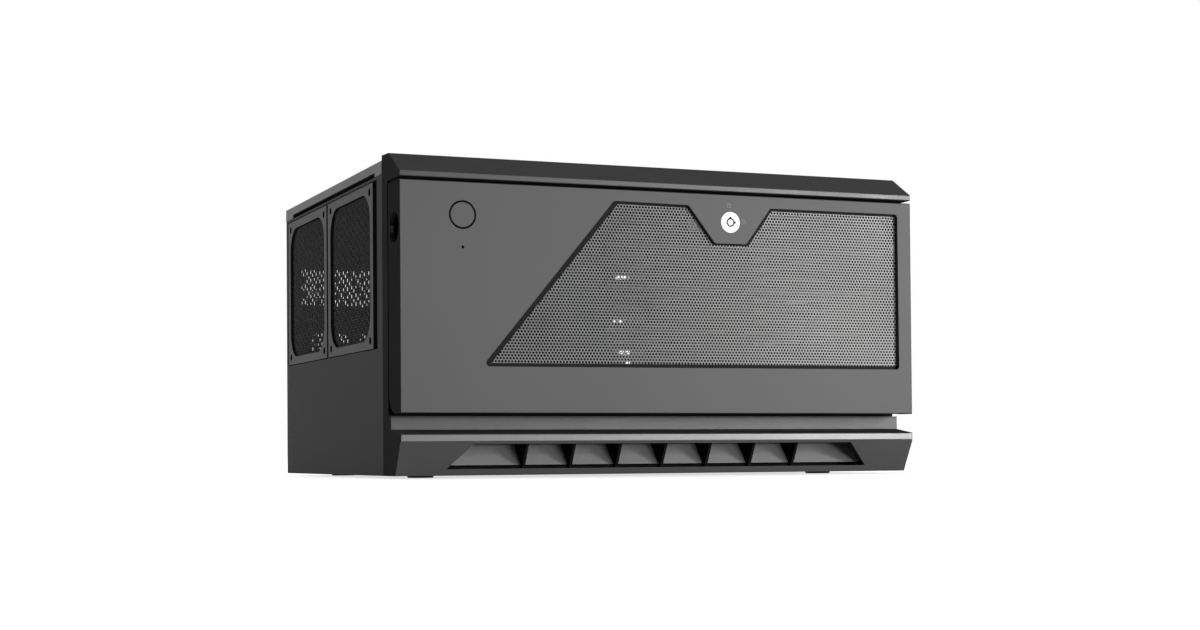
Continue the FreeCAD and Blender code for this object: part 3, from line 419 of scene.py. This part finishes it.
def ringSpots(u, v, radius, count, turn=0.0):
    angles = [math.radians(turn) + 2 * math.pi * k / count for k in range(count)]
    return [(u + radius * math.cos(a), v + radius * math.sin(a)) for a in angles]


def hexSpots(u, v, reach):  # with a corner at the top
    return ringSpots(u, v, reach, 6, 90)


def rectSpots(u0, u1, v0, v1):
    return [(u0, v0), (u1, v0), (u1, v1), (u0, v1)]


def cornerSpots(u, v, halfU, halfV):
    return [(u + a, v + b) for a in (-halfU, halfU) for b in (-halfV, halfV)]


def staggered(pitch, halfU, halfV):
    step = pitch * math.sqrt(3) / 2
    rows, reach = int(halfV // step), int(halfU // pitch) + 1
    spots = []
    for row in range(-rows, rows + 1):
        shift = pitch / 2 * (row % 2)
        places = [k * pitch + shift for k in range(-reach, reach + 1)]
        spots += [(u, row * step) for u in places if abs(u) <= halfU]
    return spots


# door shell: the corners (x, z) of the solid's opening, let out to the line that the photograph shows
doorShell = {
    "corners": [(-138, 77.5), (-38, 191.2), (18.5, 191.2), (37, 166.5), (61, 166.5), (79.5, 191.2),
                (188.5, 191.2), (188.5, 77.5)],
    "letOut": [(-3.6, -1.1), (-4.6, 2.3), (-2.8, 1.8), (-0.6, 0), (0.5, 0.1), (1.7, 2.0), (0, 2.0), (0.4, 0)],
    "round": 2.5, "wall": 3.0, "slack": 0.06,
}


def roundCentre(ring, k, radius):
    corner = Vector(ring[k])
    toLast = (Vector(ring[k - 1]) - corner).normalized()
    toNext = (Vector(ring[(k + 1) % len(ring)]) - corner).normalized()
    half = toLast.angle(toNext) / 2
    return corner + (toLast + toNext).normalized() * radius / math.sin(half)


def letOutDoor():
    mesh = nodes["door_shell"].data.copy()
    mesh.name = "doorShell"
    radius, slack = doorShell["round"], doorShell["slack"]
    front = nodeBox("door_shell")[0][1]
    levels = (front, front + doorShell["wall"])
    moved = 0
    for k, shift in enumerate(doorShell["letOut"]):
        centre = roundCentre(doorShell["corners"], k, radius)
        for vertex in mesh.vertices:
            x, y, z = vertex.co / mm
            if min(abs(y - level) for level in levels) > slack:
                continue
            if abs((Vector((x, z)) - centre).length - radius) > slack:
                continue
            vertex.co.x += shift[0] * mm
            vertex.co.z += shift[1] * mm
            moved += 1
    placePiece("doorShell", mesh, "door", ["door_shell"])
    dressFaces(mesh, doorRules)
    return moved


print("door opening let out, points moved:", letOutDoor())

# perforated steel behind the door's opening, in two sheets, with a black rim strip of painted shade round the
# opening's edge
doorSteel = {
    "outline": [(x + dx, z + dz) for (x, z), (dx, dz) in zip(doorShell["corners"], doorShell["letOut"])],
    "pitch": 2.4, "hole": 1.05, "behind": 0.1, "thick": 0.5, "past": 1.0, "split": 65.0,
    "start": (-146.0, 74.0), "span": (340, 124),
    "rimIn": [-4.4, -1.6, -0.7, -0.9, -3.2, -1.6, -0.4, -2.6], "rimOut": [1.8] * 8,
}


def edgeReach(u, v, ring):
    spot = Vector((u, v))
    reaches = []
    for k in range(len(ring)):
        start = Vector(ring[k - 1])
        along = Vector(ring[k]) - start
        share = max(0, min(1, (spot - start).dot(along) / along.length_squared))
        reaches.append((start + along * share - spot).length)
    return min(reaches)


def perforatedHalf(low, high):
    ring, pitch, hole = doorSteel["outline"], doorSteel["pitch"], doorSteel["hole"]
    step, cellReach = pitch * math.sqrt(3) / 2, pitch / math.sqrt(3)
    front = nodeBox("door_mesh")[0][1] + doorSteel["behind"]
    back = front + doorSteel["thick"]
    points, faces, shared, border = [], [], {}, {}

    def addSpot(x, z):  # one point on the front and one behind it
        points.extend([(x, front, z), (x, back, z)])
        return len(points) - 2

    def sharedSpot(x, z):  # neighbouring cells share their corners
        key = (round(x, 2), round(z, 2))
        if key not in shared:
            shared[key] = addSpot(x, z)
        return shared[key]

    (u0, v0), (wide, tall) = doorSteel["start"], doorSteel["span"]
    for row in range(int(tall / step)):
        for column in range(int(wide / pitch)):
            u, v = u0 + column * pitch + pitch / 2 * (row % 2), v0 + row * step
            if not low <= u < high:
                continue
            if not inRing(u, v, ring) and edgeReach(u, v, ring) > doorSteel["past"]:
                continue
            outer = [sharedSpot(*spot) for spot in hexSpots(u, v, cellReach)]
            inner = [addSpot(*spot) for spot in hexSpots(u, v, hole)]
            for k in range(len(outer)):
                a, b, c, d = outer[k - 1], outer[k], inner[k], inner[k - 1]
                faces += [(a, b, c, d), (a + 1, d + 1, c + 1, b + 1), (d, c, c + 1, d + 1)]
                edge = (min(a, b), max(a, b))
                border[edge] = border.get(edge, 0) + 1
    faces += [(a, b, b + 1, a + 1) for (a, b), uses in border.items() if uses == 1]  # the sheet's own edge
    return points, faces


def shiftedRing(ring, grow):  # each edge moved out by its own share, and the corners found again
    lines = []
    for k in range(len(ring)):  # edge k runs from corner k to the next one
        start = Vector(ring[k])
        along = (Vector(ring[(k + 1) % len(ring)]) - start).normalized()
        away = Vector((-along.y, along.x))
        lines.append((away, start.dot(away) + grow[k]))
    corners = []
    for k in range(len(ring)):
        (na, ca), (nb, cb) = lines[k - 1], lines[k]
        det = na.x * nb.y - na.y * nb.x
        corners.append(((ca * nb.y - cb * na.y) / det, (na.x * cb - nb.x * ca) / det))
    return corners


# painted shade: a black strip along the edge of the mesh opening
def shadeRimStrip():
    ring = doorSteel["outline"]
    sides = [shiftedRing(ring, doorSteel[key]) for key in ("rimIn", "rimOut")]
    depths = [corner[1] for corner in nodeBox("door_mesh")]
    points = [(x, y, z) for y in depths for side in sides for x, z in side]
    faces, n = [], len(ring)
    for k in range(n):
        m = (k + 1) % n
        faces += [(k, m, n + m, n + k), (2 * n + k, 3 * n + k, 3 * n + m, 2 * n + m)]
        faces += [(n + k, n + m, 3 * n + m, 3 * n + k), (k, 2 * n + k, 2 * n + m, m)]
    return points, faces


leftHalf = perforatedHalf(-math.inf, doorSteel["split"])
rightHalf = perforatedHalf(doorSteel["split"], math.inf)
addPiece("doorSteelLeft", *leftHalf, "meshSteel", "door", "mesh_metal", ["door_mesh"])
addPiece("doorSteelRight", *rightHalf, "meshSteel", "door", "mesh_metal")
addPiece("doorSteelShadeRim", *shadeRimStrip(), "rimBlack", "door", "mesh_metal")
print("door perforation cut")

# woven dust nets
dustNet = {"places": ("front", "rear"), "inset": 0.08, "corner": 22.9, "pitch": 1.9, "thread": 0.07,
           "wave": 0.04}


def netReach(u, halfU, halfV):  # how far a thread runs before the net's round corner
    corner = dustNet["corner"]
    over = abs(u) - (halfU - corner)
    return halfV if over <= 0 else halfV - corner + math.sqrt(max(0, corner ** 2 - over ** 2))


def threadPart(centre, half, line, upright):
    (x, y, z), (halfU, halfV) = centre, half if upright else half[::-1]
    pitch, r = dustNet["pitch"], dustNet["thread"]
    u = line * pitch
    ends = int(netReach(u, halfU, halfV) // pitch)
    points = []
    for k in range(-ends, ends + 1):
        v = k * pitch
        sway = dustNet["wave"] * (1 if (line + k + upright) % 2 else -1)
        for du, dx in ((r, 0), (0, r), (-r, 0), (0, -r)):
            side, rise = (y + u + du, z + v) if upright else (y + v, z + u + du)
            points.append((x + sway + dx, side, rise))
    last = len(points) - 4
    faces = [(3, 2, 1, 0), (last, last + 1, last + 2, last + 3)]
    for b in range(0, last, 4):
        faces += [(b + j, b + (j + 1) % 4, b + 4 + (j + 1) % 4, b + 4 + j) for j in range(4)]
    return points, faces


def netPart(node):
    centre, (low, high) = nodeCentre(node), nodeBox(node)
    half = [(high[axis] - low[axis]) / 2 - dustNet["inset"] for axis in (1, 2)]
    parts = []
    for upright in (0, 1):
        lines = int(half[1 - upright] // dustNet["pitch"])
        parts += [threadPart(centre, half, line, upright) for line in range(-lines, lines + 1)]
    return joinParts(parts)


for place in dustNet["places"]:
    stood = "filter_net_" + place
    addPiece("dustNet" + place.title(), *netPart(stood), "netNylon", "chassis", "filter_nylon", [stood])
print("dust nets woven")

# left side with its round holes behind the nets
leftSide = {
    "sheet": 1.2, "thin": 0.6, "coverGap": 0.3, "lap": 2.0, "pocketGap": 0.8, "pocketFront": 11.6,
    "relief": (-101.5, 133.4, 211.4, 213.4), "hole": 2.05, "pitch": 6.5, "fieldY": 52.0, "fieldZ": 51.0,
    "fieldCut": 88.0, "bolt": 2.15, "boltPitch": 105.0, "sides": 10,
}


def leftSideHoles():
    spots, sides = [], leftSide["sides"]
    half = leftSide["boltPitch"] / 2
    for place in dustNet["places"]:
        _, y, z = nodeCentre("filter_net_" + place)
        for v, u in staggered(leftSide["pitch"], leftSide["fieldZ"], leftSide["fieldY"]):
            if abs(u) + abs(v) < leftSide["fieldCut"]:
                spots.append(ringSpots(y + u, z + v, leftSide["hole"], sides))
        spots += [ringSpots(*bolt, leftSide["bolt"], sides) for bolt in cornerSpots(y, z, half, half)]
    return spots


def leftSideParts():
    (out, front, bottom), (_, rear, top) = nodeBox("left_side_panel")
    _, y0, z0 = nodeBox("filter_frame_front")[0]
    floor, y1, z1 = nodeBox("filter_frame_rear")[1]
    t, gap = leftSide["sheet"], leftSide["pocketGap"]
    y0, y1, z0, z1 = y0 - leftSide["pocketFront"], y1 + gap, z0 - gap, z1 + gap
    fold = nodeBox("top_cover")[0][2] - leftSide["coverGap"]  # above it the sheet steps in under the cover
    skin = punchedSheet(rectSpots(front, rear, bottom, fold), [rectSpots(y0, y1, z0, z1)], t,
                        lambda u, v, w: (out + w, u, v))
    plate = punchedSheet(rectSpots(y0 - t, y1 + t, z0 - t, z1 + t), leftSideHoles(), leftSide["thin"],
                         lambda u, v, w: (floor + w, u, v))
    lap = punchedSheet(rectSpots(front + t, rear - t, fold - leftSide["lap"], top),
                       [rectSpots(*leftSide["relief"])], t, lambda u, v, w: (out + t + w, u, v))
    walls = [
        boxPart((out + t, y0 - t, z0 - t), (floor, y0, z1 + t)),
        boxPart((out + t, y1, z0 - t), (floor, y1 + t, z1 + t)),
        boxPart((out + t, y0, z0 - t), (floor, y1, z0)),
        boxPart((out + t, y0, z1), (floor, y1, z1 + t)),
    ]
    return joinParts([skin, plate, lap] + walls)


leftPanel = addPiece("leftSidePanel", *leftSideParts(), "panelPaint", "chassis", "painted_steel",
                     ["left_side_panel"])
dressFaces(leftPanel.data, sideRules)
print("left side punched")

# rear panel with its fine honeycomb
rearSheet = {
    "vent": 55.0, "pitch": 7.0, "across": 5.9, "field": (-142.48, 156.5), "fieldHalf": (44.0, 14.0),
    "connectors": (-99, 59.75, 8.7, 53.15), "supply": (128.0, 37.0), "supplyWide": (61.0, 18.75),
    "supplyTall": (49.5, 31.0), "supplyBolts": (56.5, 25.75), "supplyBolt": 1.9, "boltSides": 12,
    "slots": ["slot_cover_%d" % number for number in range(1, 5)], "slotHalf": 6.5, "slotRise": (14.0, 120.0),
}


def honeycombHoles():
    reach = rearSheet["across"] / math.sqrt(3)
    holes = []
    for fan in ("fan_frame_left", "fan_frame_right"):
        x, _, z = nodeCentre(fan)
        for u, v in staggered(rearSheet["pitch"], rearSheet["vent"], rearSheet["vent"]):
            if math.hypot(u, v) < rearSheet["vent"] - reach:
                holes.append(hexSpots(x + u, z + v, reach))
    x, z = rearSheet["field"]
    field = staggered(rearSheet["pitch"], *rearSheet["fieldHalf"])
    return holes + [hexSpots(x + u, z + v, reach) for u, v in field]


def supplyHoles():
    (x, z), (wide, low), (narrow, tall) = (rearSheet[key] for key in ("supply", "supplyWide", "supplyTall"))
    quarter = [(wide, low), (narrow, low), (narrow, tall)]
    half = quarter + [(-u, v) for u, v in reversed(quarter)]
    opening = [(x + u, z + v) for u, v in half + [(-u, -v) for u, v in half]]
    bolts = cornerSpots(x, z, *rearSheet["supplyBolts"])
    return [opening] + [ringSpots(*bolt, rearSheet["supplyBolt"], rearSheet["boltSides"]) for bolt in bolts]


def slotHoles():
    half, middles = rearSheet["slotHalf"], [nodeCentre(slot)[0] for slot in rearSheet["slots"]]
    return [rectSpots(x - half, x + half, *rearSheet["slotRise"]) for x in middles]


def rearParts():
    low, high = nodeBox("rear_panel")
    holes = honeycombHoles() + [rectSpots(*rearSheet["connectors"])] + supplyHoles() + slotHoles()
    return punchedSheet(rectSpots(low[0], high[0], low[2], high[2]), holes, high[1] - low[1],
                        lambda u, v, w: (u, low[1] + w, v))


addPiece("rearPanel", *rearParts(), "panelPaint", "chassis", "painted_steel", ["rear_panel"])

# vented covers of the expansion slots
slotCover = {"boltZ": 125.0, "bolt": 1.55, "boltSides": 12, "pitch": 4.4, "hole": 1.85, "holeSides": 8,
             "field": (4.5, 53.0)}


def slotCoverPart(node):
    low, high = nodeBox(node)
    x, middle = nodeCentre(node)[0], sum(rearSheet["slotRise"]) / 2
    holes = [ringSpots(x + u, middle + v, slotCover["hole"], slotCover["holeSides"])
             for u, v in staggered(slotCover["pitch"], *slotCover["field"])]
    holes.append(ringSpots(x, slotCover["boltZ"], slotCover["bolt"], slotCover["boltSides"]))
    return punchedSheet(rectSpots(low[0], high[0], low[2], high[2]), holes, high[1] - low[1],
                        lambda u, v, w: (u, low[1] + w, v))


for number, slot in enumerate(rearSheet["slots"], 1):
    addPiece("slotCover%d" % number, *slotCoverPart(slot), "cagePaint", "chassis", "cage_steel", [slot])
print("rear panel and slot covers punched")

# hexagon screws with a cross recess
screwHead = {
    "across": 5.5, "high": 1.6, "chamfer": 0.35, "bar": 0.55, "arm": 1.7, "deep": 1.0,
    "shank": 1.45, "sides": 10,
    "bodies": {"cover_screws": "chassis", "fan_screws": "chassis", "slot_screws": "chassis",
               "cam_screw": "lock"},
}


def looseBoxes(node):  # low and high corner of each loose part of a node
    mesh = nodes[node].data
    group = list(range(len(mesh.vertices)))

    def top(k):
        while group[k] != k:
            group[k] = group[group[k]]
            k = group[k]
        return k

    for edge in mesh.edges:
        a, b = (top(k) for k in edge.vertices)
        group[a] = b
    spots = {}
    for vertex in mesh.vertices:
        spots.setdefault(tuple(round(c, 6) for c in vertex.co), []).append(vertex.index)
    for same in spots.values():
        for k in same[1:]:
            group[top(k)] = top(same[0])
    boxes = {}
    for vertex in mesh.vertices:
        low, high = boxes.setdefault(top(vertex.index), ([math.inf] * 3, [-math.inf] * 3))
        for axis in range(3):
            low[axis] = min(low[axis], vertex.co[axis] / mm)
            high[axis] = max(high[axis], vertex.co[axis] / mm)
    return sorted((tuple(low), tuple(high)) for low, high in boxes.values())


def wallFaces(first, count):  # faces between one ring of points and the next
    return [(first + k, first + (k + 1) % count, first + count + (k + 1) % count, first + count + k)
            for k in range(count)]


def screwPart(x, y, z, tail):
    reach, chamfer = screwHead["across"] / math.sqrt(3), screwHead["chamfer"]
    bar, arm, deep, high = (screwHead[key] for key in ("bar", "arm", "deep", "high"))
    rim, face = hexSpots(x, z, reach), hexSpots(x, z, reach - chamfer)
    cross = [(bar, bar), (arm, bar), (arm, -bar), (bar, -bar), (bar, -arm), (-bar, -arm), (-bar, -bar),
             (-arm, -bar), (-arm, bar), (-bar, bar), (-bar, arm), (bar, arm)]
    recess = [(x + u, z + v) for u, v in cross]
    points, faces = punchedSheet(face, [recess], deep, lambda u, v, w: (u, y + high - w, v))
    first = len(points)
    points += [(u, y + high - deep, v) for u, v in recess]
    faces.append(tuple(range(first, len(points))))
    first, six = len(points), len(rim)
    for depth, spots in ((high, face), (high - chamfer, rim), (0, rim)):
        points += [(u, y + depth, v) for u, v in spots]
    faces += wallFaces(first, six) + wallFaces(first + six, six)
    faces.append(tuple(range(first + 2 * six, len(points))))
    first, sides = len(points), screwHead["sides"]
    for depth in (0, tail):
        points += [(u, y + depth, v) for u, v in ringSpots(x, z, screwHead["shank"], sides)]
    faces += wallFaces(first, sides)
    faces.append(tuple(range(first + sides, len(points))))
    return points, faces


for node, body in screwHead["bodies"].items():
    parts = []
    for low, high in looseBoxes(node):
        seat = high[1] - screwHead["high"]
        parts.append(screwPart((low[0] + high[0]) / 2, seat, (low[2] + high[2]) / 2, low[1] - seat))
    place, kind = node.split("_")
    addPiece(place + kind.title(), *joinParts(parts), "zincPlate", body, "bright_steel", [node])
print("screws cut")

# padlock signs beside the lock
padlock = {
    "proud": 0.02, "body": (1.25, 0.95), "stroke": 0.32, "arch": 0.8, "legs": 0.5, "archSteps": 8,
    "open": {"aside": -0.9, "above": 11.6, "lift": 0.6, "swing": 0.5},
    "shut": {"aside": 10.7, "above": 0.3, "lift": 0.0, "swing": 0.0},
}


def strokePart(spots, closed):  # a line of even width through the spots
    half, face, proud = padlock["stroke"] / 2, nodeBox("door_shell")[0][1], padlock["proud"]
    points, faces, count = [], [], len(spots)
    for k in range(count):
        here = Vector(spots[k])
        last = Vector(spots[k - 1]) if k or closed else None
        after = Vector(spots[(k + 1) % count]) if k < count - 1 or closed else None
        along = ((after - here) if after else (here - last)).normalized()
        before = ((here - last) if last else along).normalized()
        na, nb = Vector((-before.y, before.x)), Vector((-along.y, along.x))
        side = (na + nb) / (1 + na.dot(nb)) * half
        for y in (face - proud, face + proud):
            points += [(here.x + side.x, y, here.y + side.y), (here.x - side.x, y, here.y - side.y)]
    for k in range(count if closed else count - 1):
        a, b = 4 * k, 4 * ((k + 1) % count)
        faces += [(a, a + 1, b + 1, b), (a + 2, b + 2, b + 3, a + 3)]
        faces += [(a, b, b + 2, a + 2), (a + 1, a + 3, b + 3, b + 1)]
    if not closed:
        end = 4 * (count - 1)
        faces += [(0, 2, 3, 1), (end, end + 1, end + 3, end + 2)]
    return points, faces


def padlockPart(aside, above, lift, swing):
    lockX, _, lockZ = nodeCentre("lock_plug")
    x, z = lockX + aside, lockZ + above
    wide, tall = padlock["body"]
    arch, steps = padlock["arch"], padlock["archSteps"]
    crown = tall + lift + padlock["legs"]
    bow = [(arch, tall)] + ringSpots(0, crown, arch, 2 * steps)[:steps + 1] + [(-arch, tall + lift)]
    turned = []
    for u, v in bow:  # the bow swings round its right leg
        du, dv = u - arch, v - tall
        turned.append((x + arch + du * math.cos(swing) - dv * math.sin(swing),
                       z + tall + du * math.sin(swing) + dv * math.cos(swing)))
    body = rectSpots(x - wide, x + wide, z - tall, z + tall)
    return joinParts([strokePart(body, True), strokePart(turned, False)])


signs = joinParts([padlockPart(**padlock[state]) for state in ("open", "shut")])
addPiece("padlockSigns", *signs, "printGrey", "door", "door_metal")
print("signs printed")

# camera where the photograph was taken from
viewPoint = {"place": (-564.28, -1330.93, 16.51), "yaw": -0.366996, "pitch": 0.018104, "roll": -0.007014,
             "lens": 54.92, "sensor": 36.0, "shift": (0.0661, 0.0882), "clip": (0.05, 50)}


def placeCamera():
    yaw, pitch, roll = viewPoint["yaw"], viewPoint["pitch"], viewPoint["roll"]
    right = Vector((math.cos(yaw), math.sin(yaw), 0))
    ahead = Vector((-math.sin(yaw), math.cos(yaw), 0))
    forward = ahead * math.cos(pitch) + Vector((0, 0, math.sin(pitch)))
    rise = -ahead * math.sin(pitch) + Vector((0, 0, math.cos(pitch)))
    across = right * math.cos(roll) + rise * math.sin(roll)
    upward = rise * math.cos(roll) - right * math.sin(roll)
    data = bpy.data.cameras.new("viewCamera")
    data.lens = viewPoint["lens"]
    data.sensor_width = viewPoint["sensor"]
    data.shift_x, data.shift_y = viewPoint["shift"]
    data.clip_start, data.clip_end = viewPoint["clip"]
    camera = bpy.data.objects.new("viewCamera", data)
    turn = Matrix((across, upward, -forward)).transposed().to_4x4()
    camera.matrix_world = Matrix.Translation(Vector(viewPoint["place"]) * mm) @ turn
    bpy.context.scene.collection.objects.link(camera)
    bpy.context.scene.camera = camera


placeCamera()

# studio in metres: pale floor, white surround and soft boxes
studio = {
    "world": 0.2,
    "boxes": {
        "keyBox": {"place": (1.07, -1.5, 0.27), "aim": (0.05, -0.15, 0.13), "size": (0.5, 0.5), "watts": 18,
                   "shine": True},
        "lowBox": {"place": (0.25, -1.6, 0.055), "aim": (0.0, -0.15, 0.04), "size": (0.5, 0.1), "watts": 8,
                   "shine": False},
        "sideBox": {"place": (-1.3, 0.7, 0.6), "aim": (-0.2, 0.05, 0.1), "size": (0.8, 0.8), "watts": 5,
                    "shine": True},
        "topBox": {"place": (0.1, 0.5, 1.7), "aim": (0, 0.1, 0.2), "size": (1.2, 1.2), "watts": 10,
                   "shine": True},
    },
    "floorHalf": 6.0, "floorTone": 0.8, "floorRough": 0.9, "floorLift": (0.7, 1.0), "floorReach": (0.5, 1.4),
}


def seenDirectly(tree):  # 1 where the eye, a mirror or glass looks, else 0
    rays = addNode(tree, "ShaderNodeLightPath").outputs
    seen = calc(tree, "MAXIMUM", rays["Is Camera Ray"], rays["Is Glossy Ray"])
    return calc(tree, "MAXIMUM", seen, rays["Is Transmission Ray"])


def setSurround():
    scene = bpy.context.scene
    scene.view_settings.view_transform = "Standard"
    world = bpy.data.worlds.new("studioWorld")
    world.use_nodes = True
    scene.world = world
    tree = world.node_tree
    background = tree.nodes["Background"]
    background.inputs["Color"].default_value = (1, 1, 1, 1)
    strength = spanOf(tree, seenDirectly(tree), (0, 1), (studio["world"], 1.0))
    tree.links.new(strength, background.inputs["Strength"])


def hangBoxes():
    for name, box in studio["boxes"].items():
        lamp = bpy.data.lights.new(name, "AREA")
        lamp.shape = "RECTANGLE"
        lamp.size, lamp.size_y = box["size"]
        lamp.energy = box["watts"]
        holder = bpy.data.objects.new(name, lamp)
        place = Vector(box["place"])
        holder.location = place
        holder.rotation_euler = (Vector(box["aim"]) - place).to_track_quat("-Z", "Y").to_euler()
        holder.visible_glossy = box["shine"]
        bpy.context.scene.collection.objects.link(holder)


def floorFinish():
    paper = bpy.data.materials.new("paleFloor")
    paper.use_nodes = True
    tree = paper.node_tree
    shader = tree.nodes["Principled BSDF"]
    shader.inputs["Base Color"].default_value = grey(studio["floorTone"]) + (1,)
    shader.inputs["Roughness"].default_value = studio["floorRough"]
    shader.inputs["Specular IOR Level"].default_value = 0.0
    shader.inputs["Emission Color"].default_value = (1, 1, 1, 1)
    away = addNode(tree, "ShaderNodeVectorMath", operation="LENGTH")
    tree.links.new(addNode(tree, "ShaderNodeTexCoord").outputs["Object"], away.inputs[0])
    lift = spanOf(tree, away.outputs["Value"], studio["floorReach"], studio["floorLift"])
    tree.links.new(calc(tree, "MULTIPLY", seenDirectly(tree), lift), shader.inputs["Emission Strength"])
    return paper


def layFloor():
    half = studio["floorHalf"]
    mesh = bpy.data.meshes.new("floor")
    mesh.from_pydata([(x, y, 0) for x, y in rectSpots(-half, half, -half, half)], [], [(0, 1, 2, 3)])
    mesh.materials.append(floorFinish())
    floor = bpy.data.objects.new("floor", mesh)
    bpy.context.scene.collection.objects.link(floor)


setSurround()
hangBoxes()
layFloor()
print("camera and studio set")
